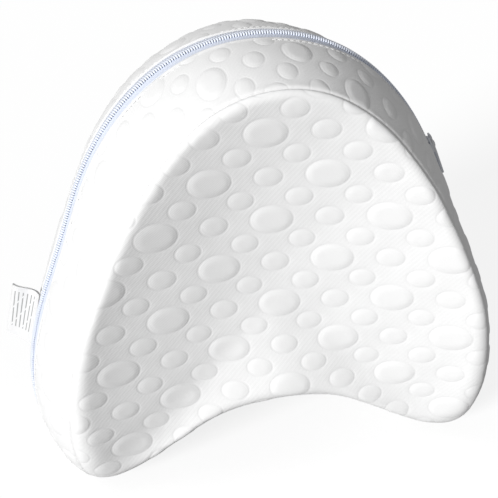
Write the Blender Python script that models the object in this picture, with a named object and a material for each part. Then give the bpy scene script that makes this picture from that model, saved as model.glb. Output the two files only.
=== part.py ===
"""Knee pillow: a filled pillow in a zipped knit cover, standing on its two lobes.

The pillow is one solid. Its shape is read from one table of stations round half of its outline: how far
out the crown of the band lies, how far in the rim of a face lies, how thick the pillow is at that rim and
how softly the rim rolls over. Two dished faces and one crowned band are triangulated flat, with the larger
puffed ovals of the knit in them, and are then lifted on to that shape and welded along the rims.

Metres, +X to the right, -Y to the front face, +Z up. The origin is on the floor, in the middle of the
whole piece with its label, so the pillow's own middle plane stands MIDDLE_X to the right of it.
"""

from collections import namedtuple
from math import ceil, cos, floor, hypot, pi, radians, sin, sqrt

import bmesh
import bpy
import numpy as np
from mathutils import Matrix, Vector
from mathutils.geometry import delaunay_2d_cdt

# Half outline of the pillow, from the notch at the bottom (-90 degrees) over a side (0) to the top (90).
# The angle is about a point at CENTRE_HEIGHT. Sizes in metres: radius of the band's crown, inset of the
# face's rim, half thickness at the rim, and reach of the rim's soft roll.
Station = namedtuple("Station", "angle radius inset half roll")
HALF_OUTLINE = (
    Station(-90, 0.0651, 0.0036, 0.0520, 0.0080),
    Station(-78, 0.0687, 0.0047, 0.0514, 0.0080),
    Station(-66, 0.0806, 0.0082, 0.0504, 0.0083),
    Station(-56, 0.1072, 0.0132, 0.0500, 0.0096),
    Station(-47, 0.1448, 0.0164, 0.0515, 0.0100),
    Station(-38, 0.1504, 0.0200, 0.0580, 0.0100),
    Station(-25, 0.1379, 0.0208, 0.0632, 0.0085),
    Station(-8, 0.1178, 0.0150, 0.0644, 0.0056),
    Station(10, 0.1050, 0.0128, 0.0630, 0.0046),
    Station(30, 0.1046, 0.0155, 0.0609, 0.0042),
    Station(50, 0.1103, 0.0168, 0.0591, 0.0040),
    Station(70, 0.1168, 0.0138, 0.0581, 0.0040),
    Station(90, 0.1191, 0.0108, 0.0578, 0.0040),
)
CENTRE_HEIGHT = 0.1036
MIDDLE_X = 0.0063
DISH_HALF = 0.0440
DISH_POWER = 2.0
CROWN_POWER = 2.05

# The band unrolled: s runs round the crown from the notch, q across from the crown to a face's rim
STATION_COUNT = 100
BAND_REACH = 0.0600
ROLL_REACH = 0.0080
SEAM_HALF = 0.0016
SEAM_DEPTH = 0.0014
BAND_ROW = 0.0115
FACE_GRID = 0.0130
ROW_CLEARANCE = 0.0045

# Puffed ovals of the knit, larger ones only: a repeat of two steps from a first oval
Oval = namedtuple("Oval", "along across half_length half_width tilt")
Repeat = namedtuple("Repeat", "start step_up step_down")
OVAL_LENGTH = 0.0220
OVAL_WIDTH = 0.0160
OVAL_TILT = radians(12)
BAND_OVAL_TILT = radians(-12)
FACE_REPEAT = Repeat((0.0003, 0.0973), (0.0266, 0.0227), (0.0304, -0.0250))
BAND_REPEAT = Repeat((0.3876, 0.0240), (0.0220, 0.0400), (0.0286, -0.0226))
Ring = namedtuple("Ring", "scale points lift")
OVAL_RINGS = (
    Ring(1.00, 12, -0.0003),
    Ring(0.72, 10, 0.0008),
)
OVAL_TOP = 0.0012
OVAL_MARGIN = 0.0025
OVAL_CLEARANCE = 1.30

# The zip: a channel along the crown, two tapes and a closed coil
ZIP_FIRST = 32
ZIP_LAST = 83
ZIP_CHANNEL = 0.0088
ZIP_LIP = 0.0096
ZIP_DEPTH = 0.0010
TAPE_OUTER = 0.0084
TAPE_INNER = 0.0024
TAPE_THICK = 0.0007
COIL_HALF = 0.0020
COIL_HEIGHT = 0.0019
GAP = 0.0003

# Slider, pull and care label
SLIDER_AT = 0.2830
SLIDER_LENGTH = 0.0090
SLIDER_WIDTH = 0.0072
SLIDER_PLATE = 0.0012
SLIDER_FLANGE = 0.0013
BRIDGE_WIDTH = 0.0026
BRIDGE_HEIGHT = 0.0022
PULL_LENGTH = 0.0150
PULL_WIDTH = 0.0048
PULL_THICK = 0.0009
PULL_STRAP = 0.0012
PULL_DROP = 0.0005
LABEL_AT = 0.6120
LABEL_ACROSS = -0.0108
LABEL_HEIGHT = 0.0300
LABEL_LENGTH = 0.0170
LABEL_LAYER = 0.0006
LABEL_GAP = 0.0005
LABEL_TURN = radians(40)
LABEL_CURL = 0.0016
LABEL_ROOT = 0.0011
LABEL_STEPS = 10

# Finishes: colour, roughness, metallic
Finish = namedtuple("Finish", "colour roughness metallic")
KNIT = Finish((0.86, 0.86, 0.85), 0.85, 0.0)
TAPE = Finish((0.80, 0.83, 0.92), 0.75, 0.0)
COIL = Finish((0.82, 0.85, 0.93), 0.40, 0.0)
SLIDER = Finish((0.84, 0.85, 0.87), 0.35, 0.3)
LABEL = Finish((0.90, 0.90, 0.89), 0.60, 0.0)


def clear_scene():
    """Remove every object that the scene starts with."""
    for item in list(bpy.data.objects):
        bpy.data.objects.remove(item, do_unlink=True)


def new_collection(name):
    """Make a collection in the scene and return it."""
    group = bpy.data.collections.new(name)
    bpy.context.scene.collection.children.link(group)
    return group


def new_material(name, finish):
    """Make a Principled material from a finish."""
    material = bpy.data.materials.new(name)
    material.use_nodes = True
    shader = material.node_tree.nodes["Principled BSDF"]
    shader.inputs["Base Color"].default_value = (*finish.colour, 1.0)
    shader.inputs["Roughness"].default_value = finish.roughness
    shader.inputs["Metallic"].default_value = finish.metallic
    return material


def add_object(name, bm, group, finish):
    """Turn a bmesh into a named object with its own material, its faces pointing out."""
    bmesh.ops.translate(bm, verts=bm.verts, vec=(MIDDLE_X, 0.0, 0.0))
    bmesh.ops.recalc_face_normals(bm, faces=bm.faces)
    mesh = bpy.data.meshes.new(name)
    bm.to_mesh(mesh)
    bm.free()
    mesh.shade_smooth()
    mesh.set_sharp_from_angle(angle=radians(35))
    item = bpy.data.objects.new(name, mesh)
    item.data.materials.append(new_material(name, finish))
    group.objects.link(item)
    return item


def bends(knots, values):
    """Return the second derivatives of a smooth curve through the values, level at both ends."""
    step = np.diff(knots)
    rise = np.diff(values) / step
    count = len(knots)
    matrix = np.zeros((count, count))
    target = np.zeros(count)
    matrix[0, :2] = (2 * step[0], step[0])
    target[0] = 6 * rise[0]
    for k in range(1, count - 1):
        matrix[k, k - 1:k + 2] = (step[k - 1], 2 * (step[k - 1] + step[k]), step[k])
        target[k] = 6 * (rise[k] - rise[k - 1])
    matrix[-1, -2:] = (step[-1], 2 * step[-1])
    target[-1] = -6 * rise[-1]
    return np.linalg.solve(matrix, target)


class Outline:
    """The station table read as smooth curves, the same on both sides of the pillow."""

    def __init__(self, rows):
        self.knots = np.array([row.angle for row in rows], dtype=float)
        self.values = {}
        self.bend = {}
        for name in Station._fields[1:]:
            self.values[name] = np.array([getattr(row, name) for row in rows])
            self.bend[name] = bends(self.knots, self.values[name])

    def read(self, name, angle):
        """Return one column of the table at an angle in degrees, from -90 to 270."""
        folded = angle if angle <= 90 else 180 - angle
        k = int(np.searchsorted(self.knots, folded) - 1)
        k = min(max(k, 0), len(self.knots) - 2)
        step = self.knots[k + 1] - self.knots[k]
        right = (folded - self.knots[k]) / step
        left = 1 - right
        low, high = self.values[name][k:k + 2]
        low_bend, high_bend = self.bend[name][k:k + 2]
        sag = (left**3 - left) * low_bend + (right**3 - right) * high_bend
        return left * low + right * high + sag * step**2 / 6


class Shape:
    """The pillow's outer surface: its band over (s, q) and its faces over (x, z)."""

    def __init__(self, outline):
        self.outline = outline
        self.angles = np.linspace(-90.0, 270.0, 1441)
        points = [self.crown(angle) for angle in self.angles]
        runs = [(b - a).length for a, b in zip(points, points[1:])]
        self.lengths = np.concatenate(([0.0], np.cumsum(runs)))
        self.length = float(self.lengths[-1])

    def crown(self, angle):
        """Return the point of the band's crown at an angle."""
        return self.place(angle, self.outline.read("radius", angle), 0.0)

    @staticmethod
    def place(angle, radius, depth):
        """Return the point at an angle and radius about the centre, with y = depth."""
        turn = radians(angle)
        return Vector((radius * cos(turn), depth, CENTRE_HEIGHT + radius * sin(turn)))

    def angle_at(self, s):
        """Return the angle of the station that lies s round the crown."""
        return float(np.interp(s % self.length, self.lengths, self.angles))

    def dish(self, share, half):
        """Return a face's half thickness at a share of the way from the centre to the rim's corner."""
        return DISH_HALF + (half - DISH_HALF) * share**DISH_POWER

    def section(self, angle, q):
        """Return radius and half thickness on the band's section, q from the crown to the face's edge."""
        radius = self.outline.read("radius", angle)
        inset = self.outline.read("inset", angle)
        half = self.outline.read("half", angle)
        roll = self.outline.read("roll", angle)
        seam = 1 - roll / hypot(half, inset * CROWN_POWER)
        across = min(abs(q) / BAND_REACH, 1.0) * seam
        start = (radius - inset * across**CROWN_POWER, half * across)
        turned = (abs(q) - BAND_REACH) / ROLL_REACH
        if turned <= 0:
            return start
        corner = radius - inset
        end = (corner - roll, self.dish(1 - roll / corner, half))
        weights = ((1 - turned)**2, 2 * turned * (1 - turned), turned**2)
        stops = (start, (corner, half), end)
        return tuple(sum(w * stop[k] for w, stop in zip(weights, stops)) for k in (0, 1))

    def band_base(self, s, q):
        """Return the band's surface point without channels or ovals. Positive q is the front."""
        angle = self.angle_at(s)
        radius, half = self.section(angle, q)
        return self.place(angle, radius, -half if q > 0 else half)

    def band_frame(self, s, q):
        """Return the band's point and its unit directions along, across and out."""
        step = 0.0004
        along = self.band_base(s + step, q) - self.band_base(s - step, q)
        low = self.band_base(s, max(q - step, -BAND_REACH - ROLL_REACH))
        high = self.band_base(s, min(q + step, BAND_REACH + ROLL_REACH))
        across = high - low
        out = along.cross(across).normalized()
        return self.band_base(s, q), along.normalized(), across.normalized(), out

    def band_point(self, s, q, lift=0.0):
        """Return a point raised by lift over the band's surface, resting on the floor where it meets it."""
        base, _, _, out = self.band_frame(s, q)
        return on_floor(base + out * lift)

    def face_base(self, x, z):
        """Return half thickness of a face at (x, z)."""
        radius, angle = polar(x, z)
        corner = self.outline.read("radius", angle) - self.outline.read("inset", angle)
        return self.dish(radius / corner, self.outline.read("half", angle))

    def face_point(self, x, z, lift, side):
        """Return a point of the front (side -1) or rear (side 1) face, raised by lift."""
        step = 0.0005
        half = self.face_base(x, z)
        slope_x = (self.face_base(x + step, z) - half) / step
        slope_z = (self.face_base(x, z + step) - half) / step
        out = Vector((-slope_x, 1.0, -slope_z)).normalized()
        return on_floor(Vector(((x + out.x * lift), side * (half + out.y * lift), z + out.z * lift)))


def polar(x, z):
    """Return the radius and the angle, -90 to 270 degrees, of (x, z) about the outline's centre."""
    rise = z - CENTRE_HEIGHT
    angle = float(np.degrees(np.arctan2(rise, x)))
    return hypot(x, rise), angle if angle >= -90 else angle + 360


def on_floor(point):
    """Press a point that would lie under the floor flat on to it."""
    point.z = max(point.z, 0.0)
    return point


class Pattern:
    """Points in a flat panel before it is lifted: rows, ovals and a coarse filling grid."""

    def __init__(self):
        self.points = []
        self.lifts = []
        self.edges = []

    def add(self, u, v, lift=0.0):
        """Add one point and return its number."""
        self.points.append(Vector((u, v)))
        self.lifts.append(lift)
        return len(self.points) - 1

    def add_row(self, places, lift):
        """Add a row of points that stays a line of edges."""
        numbers = [self.add(u, v, lift) for u, v in places]
        self.edges.extend(zip(numbers, numbers[1:]))

    def add_oval(self, oval):
        """Add the rings and the top of one puffed oval."""
        for ring in OVAL_RINGS:
            for k in range(ring.points):
                turn = 2 * pi * k / ring.points
                self.add(*oval_point(oval, ring.scale, turn), ring.lift)
        self.add(oval.along, oval.across, OVAL_TOP)

    def add_where(self, places, allowed):
        """Add the points of a list that are allowed."""
        for u, v in places:
            if allowed(u, v):
                self.add(u, v)

    def triangles(self, belongs=None):
        """Return (point, lift) pairs and the triangles whose middle belongs to the panel."""
        places, _, triangles, origins, _, _ = delaunay_2d_cdt(
            self.points, self.edges, [], 0, 1e-7, True)
        lifts = [self.lifts[origin[0]] if origin else 0.0 for origin in origins]
        if belongs:
            middles = [sum((places[k] for k in corners), Vector((0, 0))) / 3 for corners in triangles]
            triangles = [t for t, middle in zip(triangles, middles) if belongs(*middle)]
        return list(zip(places, lifts)), triangles


def oval_point(oval, scale, turn):
    """Return the point of an oval's ring at a scale and a turn."""
    u = oval.half_length * scale * cos(turn)
    v = oval.half_width * scale * sin(turn)
    return (oval.along + u * cos(oval.tilt) - v * sin(oval.tilt),
            oval.across + u * sin(oval.tilt) + v * cos(oval.tilt))


def inside_oval(oval, u, v, scale):
    """Say whether (u, v) lies inside an oval grown by scale."""
    du, dv = u - oval.along, v - oval.across
    a = (du * cos(oval.tilt) + dv * sin(oval.tilt)) / oval.half_length
    b = (-du * sin(oval.tilt) + dv * cos(oval.tilt)) / oval.half_width
    return hypot(a, b) < scale


def staggered_grid(low, high):
    """Return the points of a staggered grid over a rectangle."""
    pitch = FACE_GRID * sqrt(3) / 2
    places = []
    for row in range(ceil((high[1] - low[1]) / pitch) + 1):
        shift = FACE_GRID / 2 * (row % 2)
        for k in range(ceil((high[0] - low[0]) / FACE_GRID) + 1):
            places.append((low[0] + shift + k * FACE_GRID, low[1] + row * pitch))
    return places


def repeat_ovals(repeat, reach, tilt, allowed):
    """Return the ovals of a repeat whose whole outline is allowed."""
    ovals = []
    count = ceil(reach / hypot(*repeat.step_up))
    for i in range(-count, count + 1):
        for j in range(-count, count + 1):
            along = repeat.start[0] + i * repeat.step_up[0] + j * repeat.step_down[0]
            across = repeat.start[1] + i * repeat.step_up[1] + j * repeat.step_down[1]
            oval = Oval(along, across, OVAL_LENGTH / 2, OVAL_WIDTH / 2, tilt)
            rim = [oval_point(oval, 1.0, pi * k / 6) for k in range(12)]
            if all(allowed(u, v) for u, v in rim):
                ovals.append(oval)
    return ovals


def face_pattern(shape, stations, side):
    """Lay out one face: its rim, its ovals and the grid between them."""
    rim = [shape.band_base(s, BAND_REACH + ROLL_REACH) for s in stations]
    pattern = Pattern()
    pattern.add_row([(point.x, point.z) for point in rim], 0.0)

    def depth_inside(x, z):
        radius, angle = polar(x, z)
        return shape.section(angle, BAND_REACH + ROLL_REACH)[0] - radius

    def takes_oval(x, z):
        return depth_inside(x, z) > OVAL_MARGIN

    def inside(x, z):
        return depth_inside(x, z) > 0

    reach = float(max(shape.outline.values["radius"]))
    ovals = repeat_ovals(FACE_REPEAT, 2 * reach, OVAL_TILT, takes_oval)
    for oval in ovals:
        pattern.add_oval(oval)

    def free(x, z):
        open_ground = not any(inside_oval(oval, x, z, OVAL_CLEARANCE) for oval in ovals)
        return open_ground and depth_inside(x, z) > ROW_CLEARANCE

    pattern.add_where(staggered_grid((-reach, 0.0), (reach, 2 * reach)), free)
    places, triangles = pattern.triangles(inside)
    return [shape.face_point(p.x, p.y, lift, side) for p, lift in places], triangles


def band_rows(shape, stations, pattern):
    """Lay the rows that cross no station: seam channels, rolled rims and the middle of the roll."""
    for side in (-1, 1):
        for q, lift in (
            (BAND_REACH - SEAM_HALF, 0.0),
            (BAND_REACH, -SEAM_DEPTH),
            (BAND_REACH + SEAM_HALF, 0.0),
            (BAND_REACH + ROLL_REACH * 0.5, 0.0),
            (BAND_REACH + ROLL_REACH, 0.0),
        ):
            pattern.add_row([(s, side * q) for s in stations], lift)


def zip_rows(stations, pattern):
    """Lay the channel that holds the zip, a little longer than its tapes."""
    span = stations[ZIP_FIRST - 1:ZIP_LAST + 2]
    for q in (-ZIP_LIP, ZIP_LIP):
        pattern.add_row([(s, q) for s in span], 0.0)
    for q in (-ZIP_CHANNEL, 0.0, ZIP_CHANNEL):
        inner = [(s, q) for s in span[1:-1]]
        pattern.add_row(inner, -ZIP_DEPTH)


def band_pattern(shape, stations):
    """Lay out the band from one rim to the other and once round the pillow."""
    pattern = Pattern()
    band_rows(shape, stations, pattern)
    zip_rows(stations, pattern)
    zip_start, zip_end = stations[ZIP_FIRST - 1], stations[ZIP_LAST + 1]
    edge = BAND_REACH - SEAM_HALF

    def between_rows(s, q, margin):
        near_zip = zip_start - margin < s < zip_end + margin and abs(q) < ZIP_LIP + margin
        return margin < s < shape.length - margin and abs(q) < edge - margin and not near_zip

    def takes_oval(s, q):
        return between_rows(s, q, OVAL_MARGIN)

    ovals = repeat_ovals(BAND_REPEAT, shape.length, BAND_OVAL_TILT, takes_oval)
    for oval in ovals:
        pattern.add_oval(oval)

    def free(s, q):
        open_ground = not any(inside_oval(oval, s, q, OVAL_CLEARANCE) for oval in ovals)
        return open_ground and between_rows(s, q, ROW_CLEARANCE)

    steps = floor((edge - ROW_CLEARANCE) / BAND_ROW)
    rows = [BAND_ROW * k for k in range(-steps, steps + 1)]
    for end in (0.0, shape.length):
        pattern.add_row([(end, q) for q in rows], 0.0)
    pattern.add_where([(s, q) for s in stations[1:-1] for q in rows], free)
    places, triangles = pattern.triangles()
    return [shape.band_point(p.x, p.y, lift) for p, lift in places], triangles


def make_pillow(shape, stations, group):
    """Build the filled pillow: a band and two faces, welded at the rims."""
    bm = bmesh.new()
    panels = [band_pattern(shape, stations)]
    panels += [face_pattern(shape, stations, side) for side in (-1, 1)]
    for points, triangles in panels:
        corners = [bm.verts.new(point) for point in points]
        for triangle in triangles:
            bm.faces.new([corners[k] for k in triangle])
    bmesh.ops.remove_doubles(bm, verts=bm.verts, dist=0.00002)
    return add_object("pillow_body", bm, group, KNIT)


def loft(rings):
    """Join rings of points into one closed solid with flat ends."""
    bm = bmesh.new()
    loops = [[bm.verts.new(point) for point in ring] for ring in rings]
    for near, far in zip(loops, loops[1:]):
        for k in range(len(near)):
            bm.faces.new((near[k - 1], near[k], far[k], far[k - 1]))
    bm.faces.new(loops[0])
    bm.faces.new(reversed(loops[-1]))
    return bm


def along_band(shape, spots, outline):
    """Loft a section of (q, lift) corners along the band over the given spots."""
    rings = []
    for s in spots:
        rings.append([shape.band_point(s, q, lift) for q, lift in outline])
    return loft(rings)


def make_zip(shape, stations, group):
    """Build the two tapes and the closed coil in their channel."""
    spots = stations[ZIP_FIRST:ZIP_LAST + 1]
    low = GAP - ZIP_DEPTH
    high = low + TAPE_THICK
    for name, side in (("zip_tape_front", 1), ("zip_tape_rear", -1)):
        outline = [
            (side * TAPE_INNER, low),
            (side * TAPE_OUTER, low),
            (side * TAPE_OUTER, high),
            (side * TAPE_INNER, high),
        ]
        add_object(name, along_band(shape, spots, outline), group, TAPE)
    top = low + COIL_HEIGHT
    shoulder = low + COIL_HEIGHT * 0.6
    outline = [
        (-COIL_HALF, low),
        (COIL_HALF, low),
        (COIL_HALF, shoulder),
        (COIL_HALF * 0.5, top),
        (-COIL_HALF * 0.5, top),
        (-COIL_HALF, shoulder),
    ]
    add_object("zip_coil", along_band(shape, spots, outline), group, COIL)


def stand_on_band(shape, s, lift):
    """Return the matrix of a frame on the crown: x along the zip, y across it, z out."""
    base, along, _, out = shape.band_frame(s, 0.0)
    across = out.cross(along)
    turn = Matrix((along, across, out)).transposed().to_4x4()
    return Matrix.Translation(base + out * lift) @ turn


def profile_solid(points, width):
    """Extrude a flat outline of (x, z) points to a width along y."""
    bm = bmesh.new()
    near = [bm.verts.new((x, -width / 2, z)) for x, z in points]
    far = [bm.verts.new((x, width / 2, z)) for x, z in points]
    for k in range(len(points)):
        bm.faces.new((near[k - 1], near[k], far[k], far[k - 1]))
    bm.faces.new(near)
    bm.faces.new(reversed(far))
    return bm


def make_slider(shape, group):
    """Build the slider: a plate with two flanges over the coil and a low bridge on top."""
    floor_lift = GAP - ZIP_DEPTH + TAPE_THICK + GAP
    coil_top = GAP - ZIP_DEPTH + COIL_HEIGHT
    under = coil_top + GAP
    top = under + SLIDER_PLATE
    half = SLIDER_WIDTH / 2
    inner = half - SLIDER_FLANGE
    outline = [
        (-half, floor_lift),
        (-inner, floor_lift),
        (-inner, under),
        (inner, under),
        (inner, floor_lift),
        (half, floor_lift),
        (half, top - SLIDER_PLATE / 2),
        (half - SLIDER_PLATE / 2, top),
        (BRIDGE_WIDTH / 2, top),
        (BRIDGE_WIDTH / 2, top + BRIDGE_HEIGHT),
        (-BRIDGE_WIDTH / 2, top + BRIDGE_HEIGHT),
        (-BRIDGE_WIDTH / 2, top),
        (SLIDER_PLATE / 2 - half, top),
        (-half, top - SLIDER_PLATE / 2),
    ]
    bm = profile_solid(outline, SLIDER_LENGTH)
    turn = Matrix.Rotation(pi / 2, 4, "Z")
    bmesh.ops.transform(bm, matrix=stand_on_band(shape, SLIDER_AT, 0.0) @ turn, verts=bm.verts)
    add_object("zip_slider", bm, group, SLIDER)
    return top


def make_pull(shape, group, slider_top):
    """Build the pull: a flat tab with a square eye round the slider's bridge, lying along the coil."""
    eye = SLIDER_LENGTH / 2 + GAP
    half = PULL_WIDTH / 2
    bm = bmesh.new()
    tip = -eye - PULL_LENGTH
    outer = [(tip, -half * 0.7), (eye + PULL_STRAP, -half), (eye + PULL_STRAP, half), (tip, half * 0.7)]
    hole = [
        (-eye, -BRIDGE_WIDTH / 2 - GAP),
        (eye, -BRIDGE_WIDTH / 2 - GAP),
        (eye, BRIDGE_WIDTH / 2 + GAP),
        (-eye, BRIDGE_WIDTH / 2 + GAP),
    ]
    layers = []
    for level in (0.0, PULL_THICK):
        layers.append([[bm.verts.new((x, y, level)) for x, y in loop] for loop in (outer, hole)])
    for k in range(4):
        for rims in layers:
            bm.faces.new((rims[0][k - 1], rims[0][k], rims[1][k], rims[1][k - 1]))
        for loop in (0, 1):
            low, high = layers[0][loop], layers[1][loop]
            bm.faces.new((low[k - 1], low[k], high[k], high[k - 1]))
    for vert in bm.verts:
        if vert.co.x < -eye - GAP:
            vert.co.z -= PULL_DROP
    bmesh.ops.transform(
        bm, matrix=stand_on_band(shape, SLIDER_AT, slider_top + GAP), verts=bm.verts)
    return add_object("zip_pull", bm, group, SLIDER)


def label_section(bulge):
    """Return the folded label's section: two layers a little apart, joined by a round fold."""
    outer = LABEL_LAYER + LABEL_GAP / 2
    inner = LABEL_GAP / 2
    run = LABEL_LENGTH - outer
    shares = [k / LABEL_STEPS for k in range(LABEL_STEPS + 1)]
    turns = [pi / 2 - pi * k / 6 for k in range(1, 6)]

    def edge(offset, reach, share):
        return (reach * share, offset + bulge * sin(pi * share))

    points = [edge(outer, run, share) for share in shares]
    points += [(run + outer * cos(turn), outer * sin(turn)) for turn in turns]
    points += [edge(-outer, run, share) for share in reversed(shares)]
    points += [edge(-inner, run, share) for share in shares]
    points += [(run + inner * cos(turn), -inner * sin(turn)) for turn in turns]
    points += [edge(inner, run, share) for share in reversed(shares)]
    return points


def make_label(shape, group):
    """Build the care label, sewn in beside the zip on the left and folded on itself."""
    low = shape.band_base(LABEL_AT + LABEL_HEIGHT / 2, LABEL_ACROSS)
    high = shape.band_base(LABEL_AT - LABEL_HEIGHT / 2, LABEL_ACROSS)
    middle = shape.band_base(LABEL_AT, LABEL_ACROSS)
    up = (high - low).normalized()
    reach = Vector((-cos(LABEL_TURN), sin(LABEL_TURN), 0.0))
    reach = (reach - up * reach.dot(up)).normalized()
    side = reach.cross(up)
    bm = profile_solid(label_section(LABEL_CURL), LABEL_HEIGHT)
    turn = Matrix((reach, up, side)).transposed().to_4x4()
    matrix = Matrix.Translation(middle + reach * LABEL_ROOT) @ turn
    bmesh.ops.transform(bm, matrix=matrix, verts=bm.verts)
    return add_object("care_label", bm, group, LABEL)


def main():
    """Build the knee pillow."""
    clear_scene()
    group = new_collection("knee_pillow")
    shape = Shape(Outline(HALF_OUTLINE))
    stations = [shape.length * k / STATION_COUNT for k in range(STATION_COUNT + 1)]
    make_pillow(shape, stations, group)
    make_zip(shape, stations, group)
    slider_top = make_slider(shape, group)
    make_pull(shape, group, slider_top)
    make_label(shape, group)


main()
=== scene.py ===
"""Knee pillow in a zipped white jacquard cover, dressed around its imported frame."""

import logging
from dataclasses import dataclass, field
from enum import Enum
from math import cos, pi, radians, sin
from typing import Sequence

import bmesh
import bpy
import numpy as np
from mathutils import Matrix, Vector
from mathutils.geometry import delaunay_2d_cdt


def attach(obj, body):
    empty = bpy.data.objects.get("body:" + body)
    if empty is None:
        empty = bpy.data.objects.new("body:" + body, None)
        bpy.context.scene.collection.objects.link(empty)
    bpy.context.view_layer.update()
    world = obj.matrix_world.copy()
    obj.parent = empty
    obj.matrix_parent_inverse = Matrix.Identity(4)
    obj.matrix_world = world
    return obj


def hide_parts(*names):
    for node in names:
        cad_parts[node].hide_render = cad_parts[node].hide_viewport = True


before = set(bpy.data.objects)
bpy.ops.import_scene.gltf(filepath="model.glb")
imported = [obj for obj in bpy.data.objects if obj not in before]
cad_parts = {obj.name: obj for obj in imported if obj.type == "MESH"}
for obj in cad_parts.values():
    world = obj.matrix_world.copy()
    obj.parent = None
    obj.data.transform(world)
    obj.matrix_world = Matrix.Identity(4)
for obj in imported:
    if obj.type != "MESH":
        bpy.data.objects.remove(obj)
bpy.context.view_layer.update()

LOG = logging.getLogger("knee_pillow")
BODY = "root"
MM = 0.001
Points = np.ndarray


class Slot(Enum):
    """The record's material slots, by name."""

    KNIT = "knit"
    TAPE = "tape"
    COIL = "coil"
    SLIDER = "slider"
    PULL = "pull"
    LABEL = "label"


class Side(Enum):
    """The two faces of the pillow, by the sign of q on the band."""

    FRONT = 1
    REAR = -1


# Mesh helpers


def smoothstep(low: float, high: float, value: Points) -> Points:
    """Return a soft step from 0 at low to 1 at high.

    Args:
        low: value where the step starts.
        high: value where the step ends.
        value: values to pass through the step.

    Returns:
        The stepped values, from 0 to 1.
    """
    share = np.clip((value - low) / (high - low), 0.0, 1.0)
    return share * share * (3 - 2 * share)


def unit(vectors: Points) -> Points:
    """Return the vectors at length one."""
    return vectors / np.maximum(np.linalg.norm(vectors, axis=-1, keepdims=True), 1e-12)


def new_mesh(name: str, points: Points, faces: Sequence[Sequence[int]]) -> bpy.types.Mesh:
    """Make a smooth-shaded mesh from points and faces.

    Args:
        name: the mesh's name.
        points: (N, 3) places in metres.
        faces: corner numbers of each face, outwards by the right hand.

    Returns:
        The new mesh.
    """
    mesh = bpy.data.meshes.new(name)
    mesh.from_pydata([tuple(point) for point in points], [], faces)
    mesh.shade_smooth()
    mesh.update()
    return mesh


def set_corner_uv(mesh: bpy.types.Mesh, corners: Points) -> None:
    """Write one UV pair for each face corner, in metres of cloth.

    Args:
        mesh: the mesh to write to.
        corners: (N, 2) cloth places, one for each corner.
    """
    layer = mesh.uv_layers.new(name="cloth")
    layer.data.foreach_set("uv", np.asarray(corners, dtype=np.float32).ravel())


def set_point_values(mesh: bpy.types.Mesh, name: str, values: Points) -> None:
    """Store one number for each point of a mesh under a name.

    Args:
        mesh: the mesh to write to.
        name: the attribute's name.
        values: one number for each point.
    """
    layer = mesh.attributes.new(name, "FLOAT", "POINT")
    layer.data.foreach_set("value", np.asarray(values, dtype=np.float32))


def loft(name: str, rings: Points, uv: Points | None = None) -> bpy.types.Mesh:
    """Join rings of points into one closed skin with capped ends.

    Args:
        name: the mesh's name.
        rings: (M, K, 3) points, K round each ring.
        uv: (M, K, 2) cloth places, if the skin needs them.

    Returns:
        The closed mesh, its faces outwards.
    """
    count, around = rings.shape[:2]
    points = rings.reshape(-1, 3)
    faces = []
    for row in range(count - 1):
        for k in range(around):
            after = (k + 1) % around
            faces.append((row * around + k, row * around + after,
                          (row + 1) * around + after, (row + 1) * around + k))
    faces.append(tuple(reversed(range(around))))
    faces.append(tuple(range((count - 1) * around, count * around)))
    mesh = new_mesh(name, points, faces)
    if uv is not None:
        flat = uv.reshape(-1, 2)
        set_corner_uv(mesh, flat[[k for face in faces for k in face]])
    bm = bmesh.new()
    bm.from_mesh(mesh)
    bmesh.ops.recalc_face_normals(bm, faces=bm.faces)
    bm.to_mesh(mesh)
    bm.free()
    return mesh


def add_piece(mesh: bpy.types.Mesh, material: bpy.types.Material) -> bpy.types.Object:
    """Link a mesh as a piece of the pillow with its finish, riding on the body.

    Args:
        mesh: the piece's mesh, in its place.
        material: the finish.

    Returns:
        The linked object.
    """
    piece = bpy.data.objects.new(mesh.name, mesh)
    bpy.context.scene.collection.objects.link(piece)
    mesh.materials.clear()
    mesh.materials.append(material)
    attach(piece, BODY)
    LOG.info("%s: %d points, %d faces", piece.name, len(mesh.vertices), len(mesh.polygons))
    return piece


def bake_modifiers(piece: bpy.types.Object) -> bpy.types.Mesh:
    """Turn an object with its modifiers into a plain mesh and drop the object.

    Args:
        piece: the object to evaluate.

    Returns:
        The evaluated mesh under the object's own name.
    """
    graph = bpy.context.evaluated_depsgraph_get()
    mesh = bpy.data.meshes.new_from_object(piece.evaluated_get(graph))
    name = piece.name
    old = piece.data
    bpy.data.objects.remove(piece, do_unlink=True)
    if isinstance(old, bpy.types.Mesh):
        bpy.data.meshes.remove(old)
    mesh.name = name
    return mesh


# The pillow's surface


@dataclass(frozen=True)
class Station:
    """One row of the half outline, by its angle in degrees about the centre.

    Attributes:
        angle: from the notch at the bottom (-90) over a side (0) to the top (90).
        radius: of the band's crown.
        inset: how far in the face's rim lies.
        half: half thickness of the pillow at that rim.
        roll: reach of the rim's soft roll.
    """

    angle: float
    radius: float
    inset: float
    half: float
    roll: float


HALF_OUTLINE = (
    Station(-90, 0.0651, 0.0036, 0.0520, 0.0080),
    Station(-78, 0.0687, 0.0047, 0.0514, 0.0080),
    Station(-66, 0.0806, 0.0082, 0.0504, 0.0083),
    Station(-56, 0.1072, 0.0132, 0.0500, 0.0096),
    Station(-47, 0.1448, 0.0164, 0.0515, 0.0100),
    Station(-38, 0.1504, 0.0200, 0.0580, 0.0100),
    Station(-25, 0.1379, 0.0208, 0.0632, 0.0085),
    Station(-8, 0.1178, 0.0150, 0.0644, 0.0056),
    Station(10, 0.1050, 0.0128, 0.0630, 0.0046),
    Station(30, 0.1046, 0.0155, 0.0609, 0.0042),
    Station(50, 0.1103, 0.0168, 0.0591, 0.0040),
    Station(70, 0.1168, 0.0138, 0.0581, 0.0040),
    Station(90, 0.1191, 0.0108, 0.0578, 0.0040),
)


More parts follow.
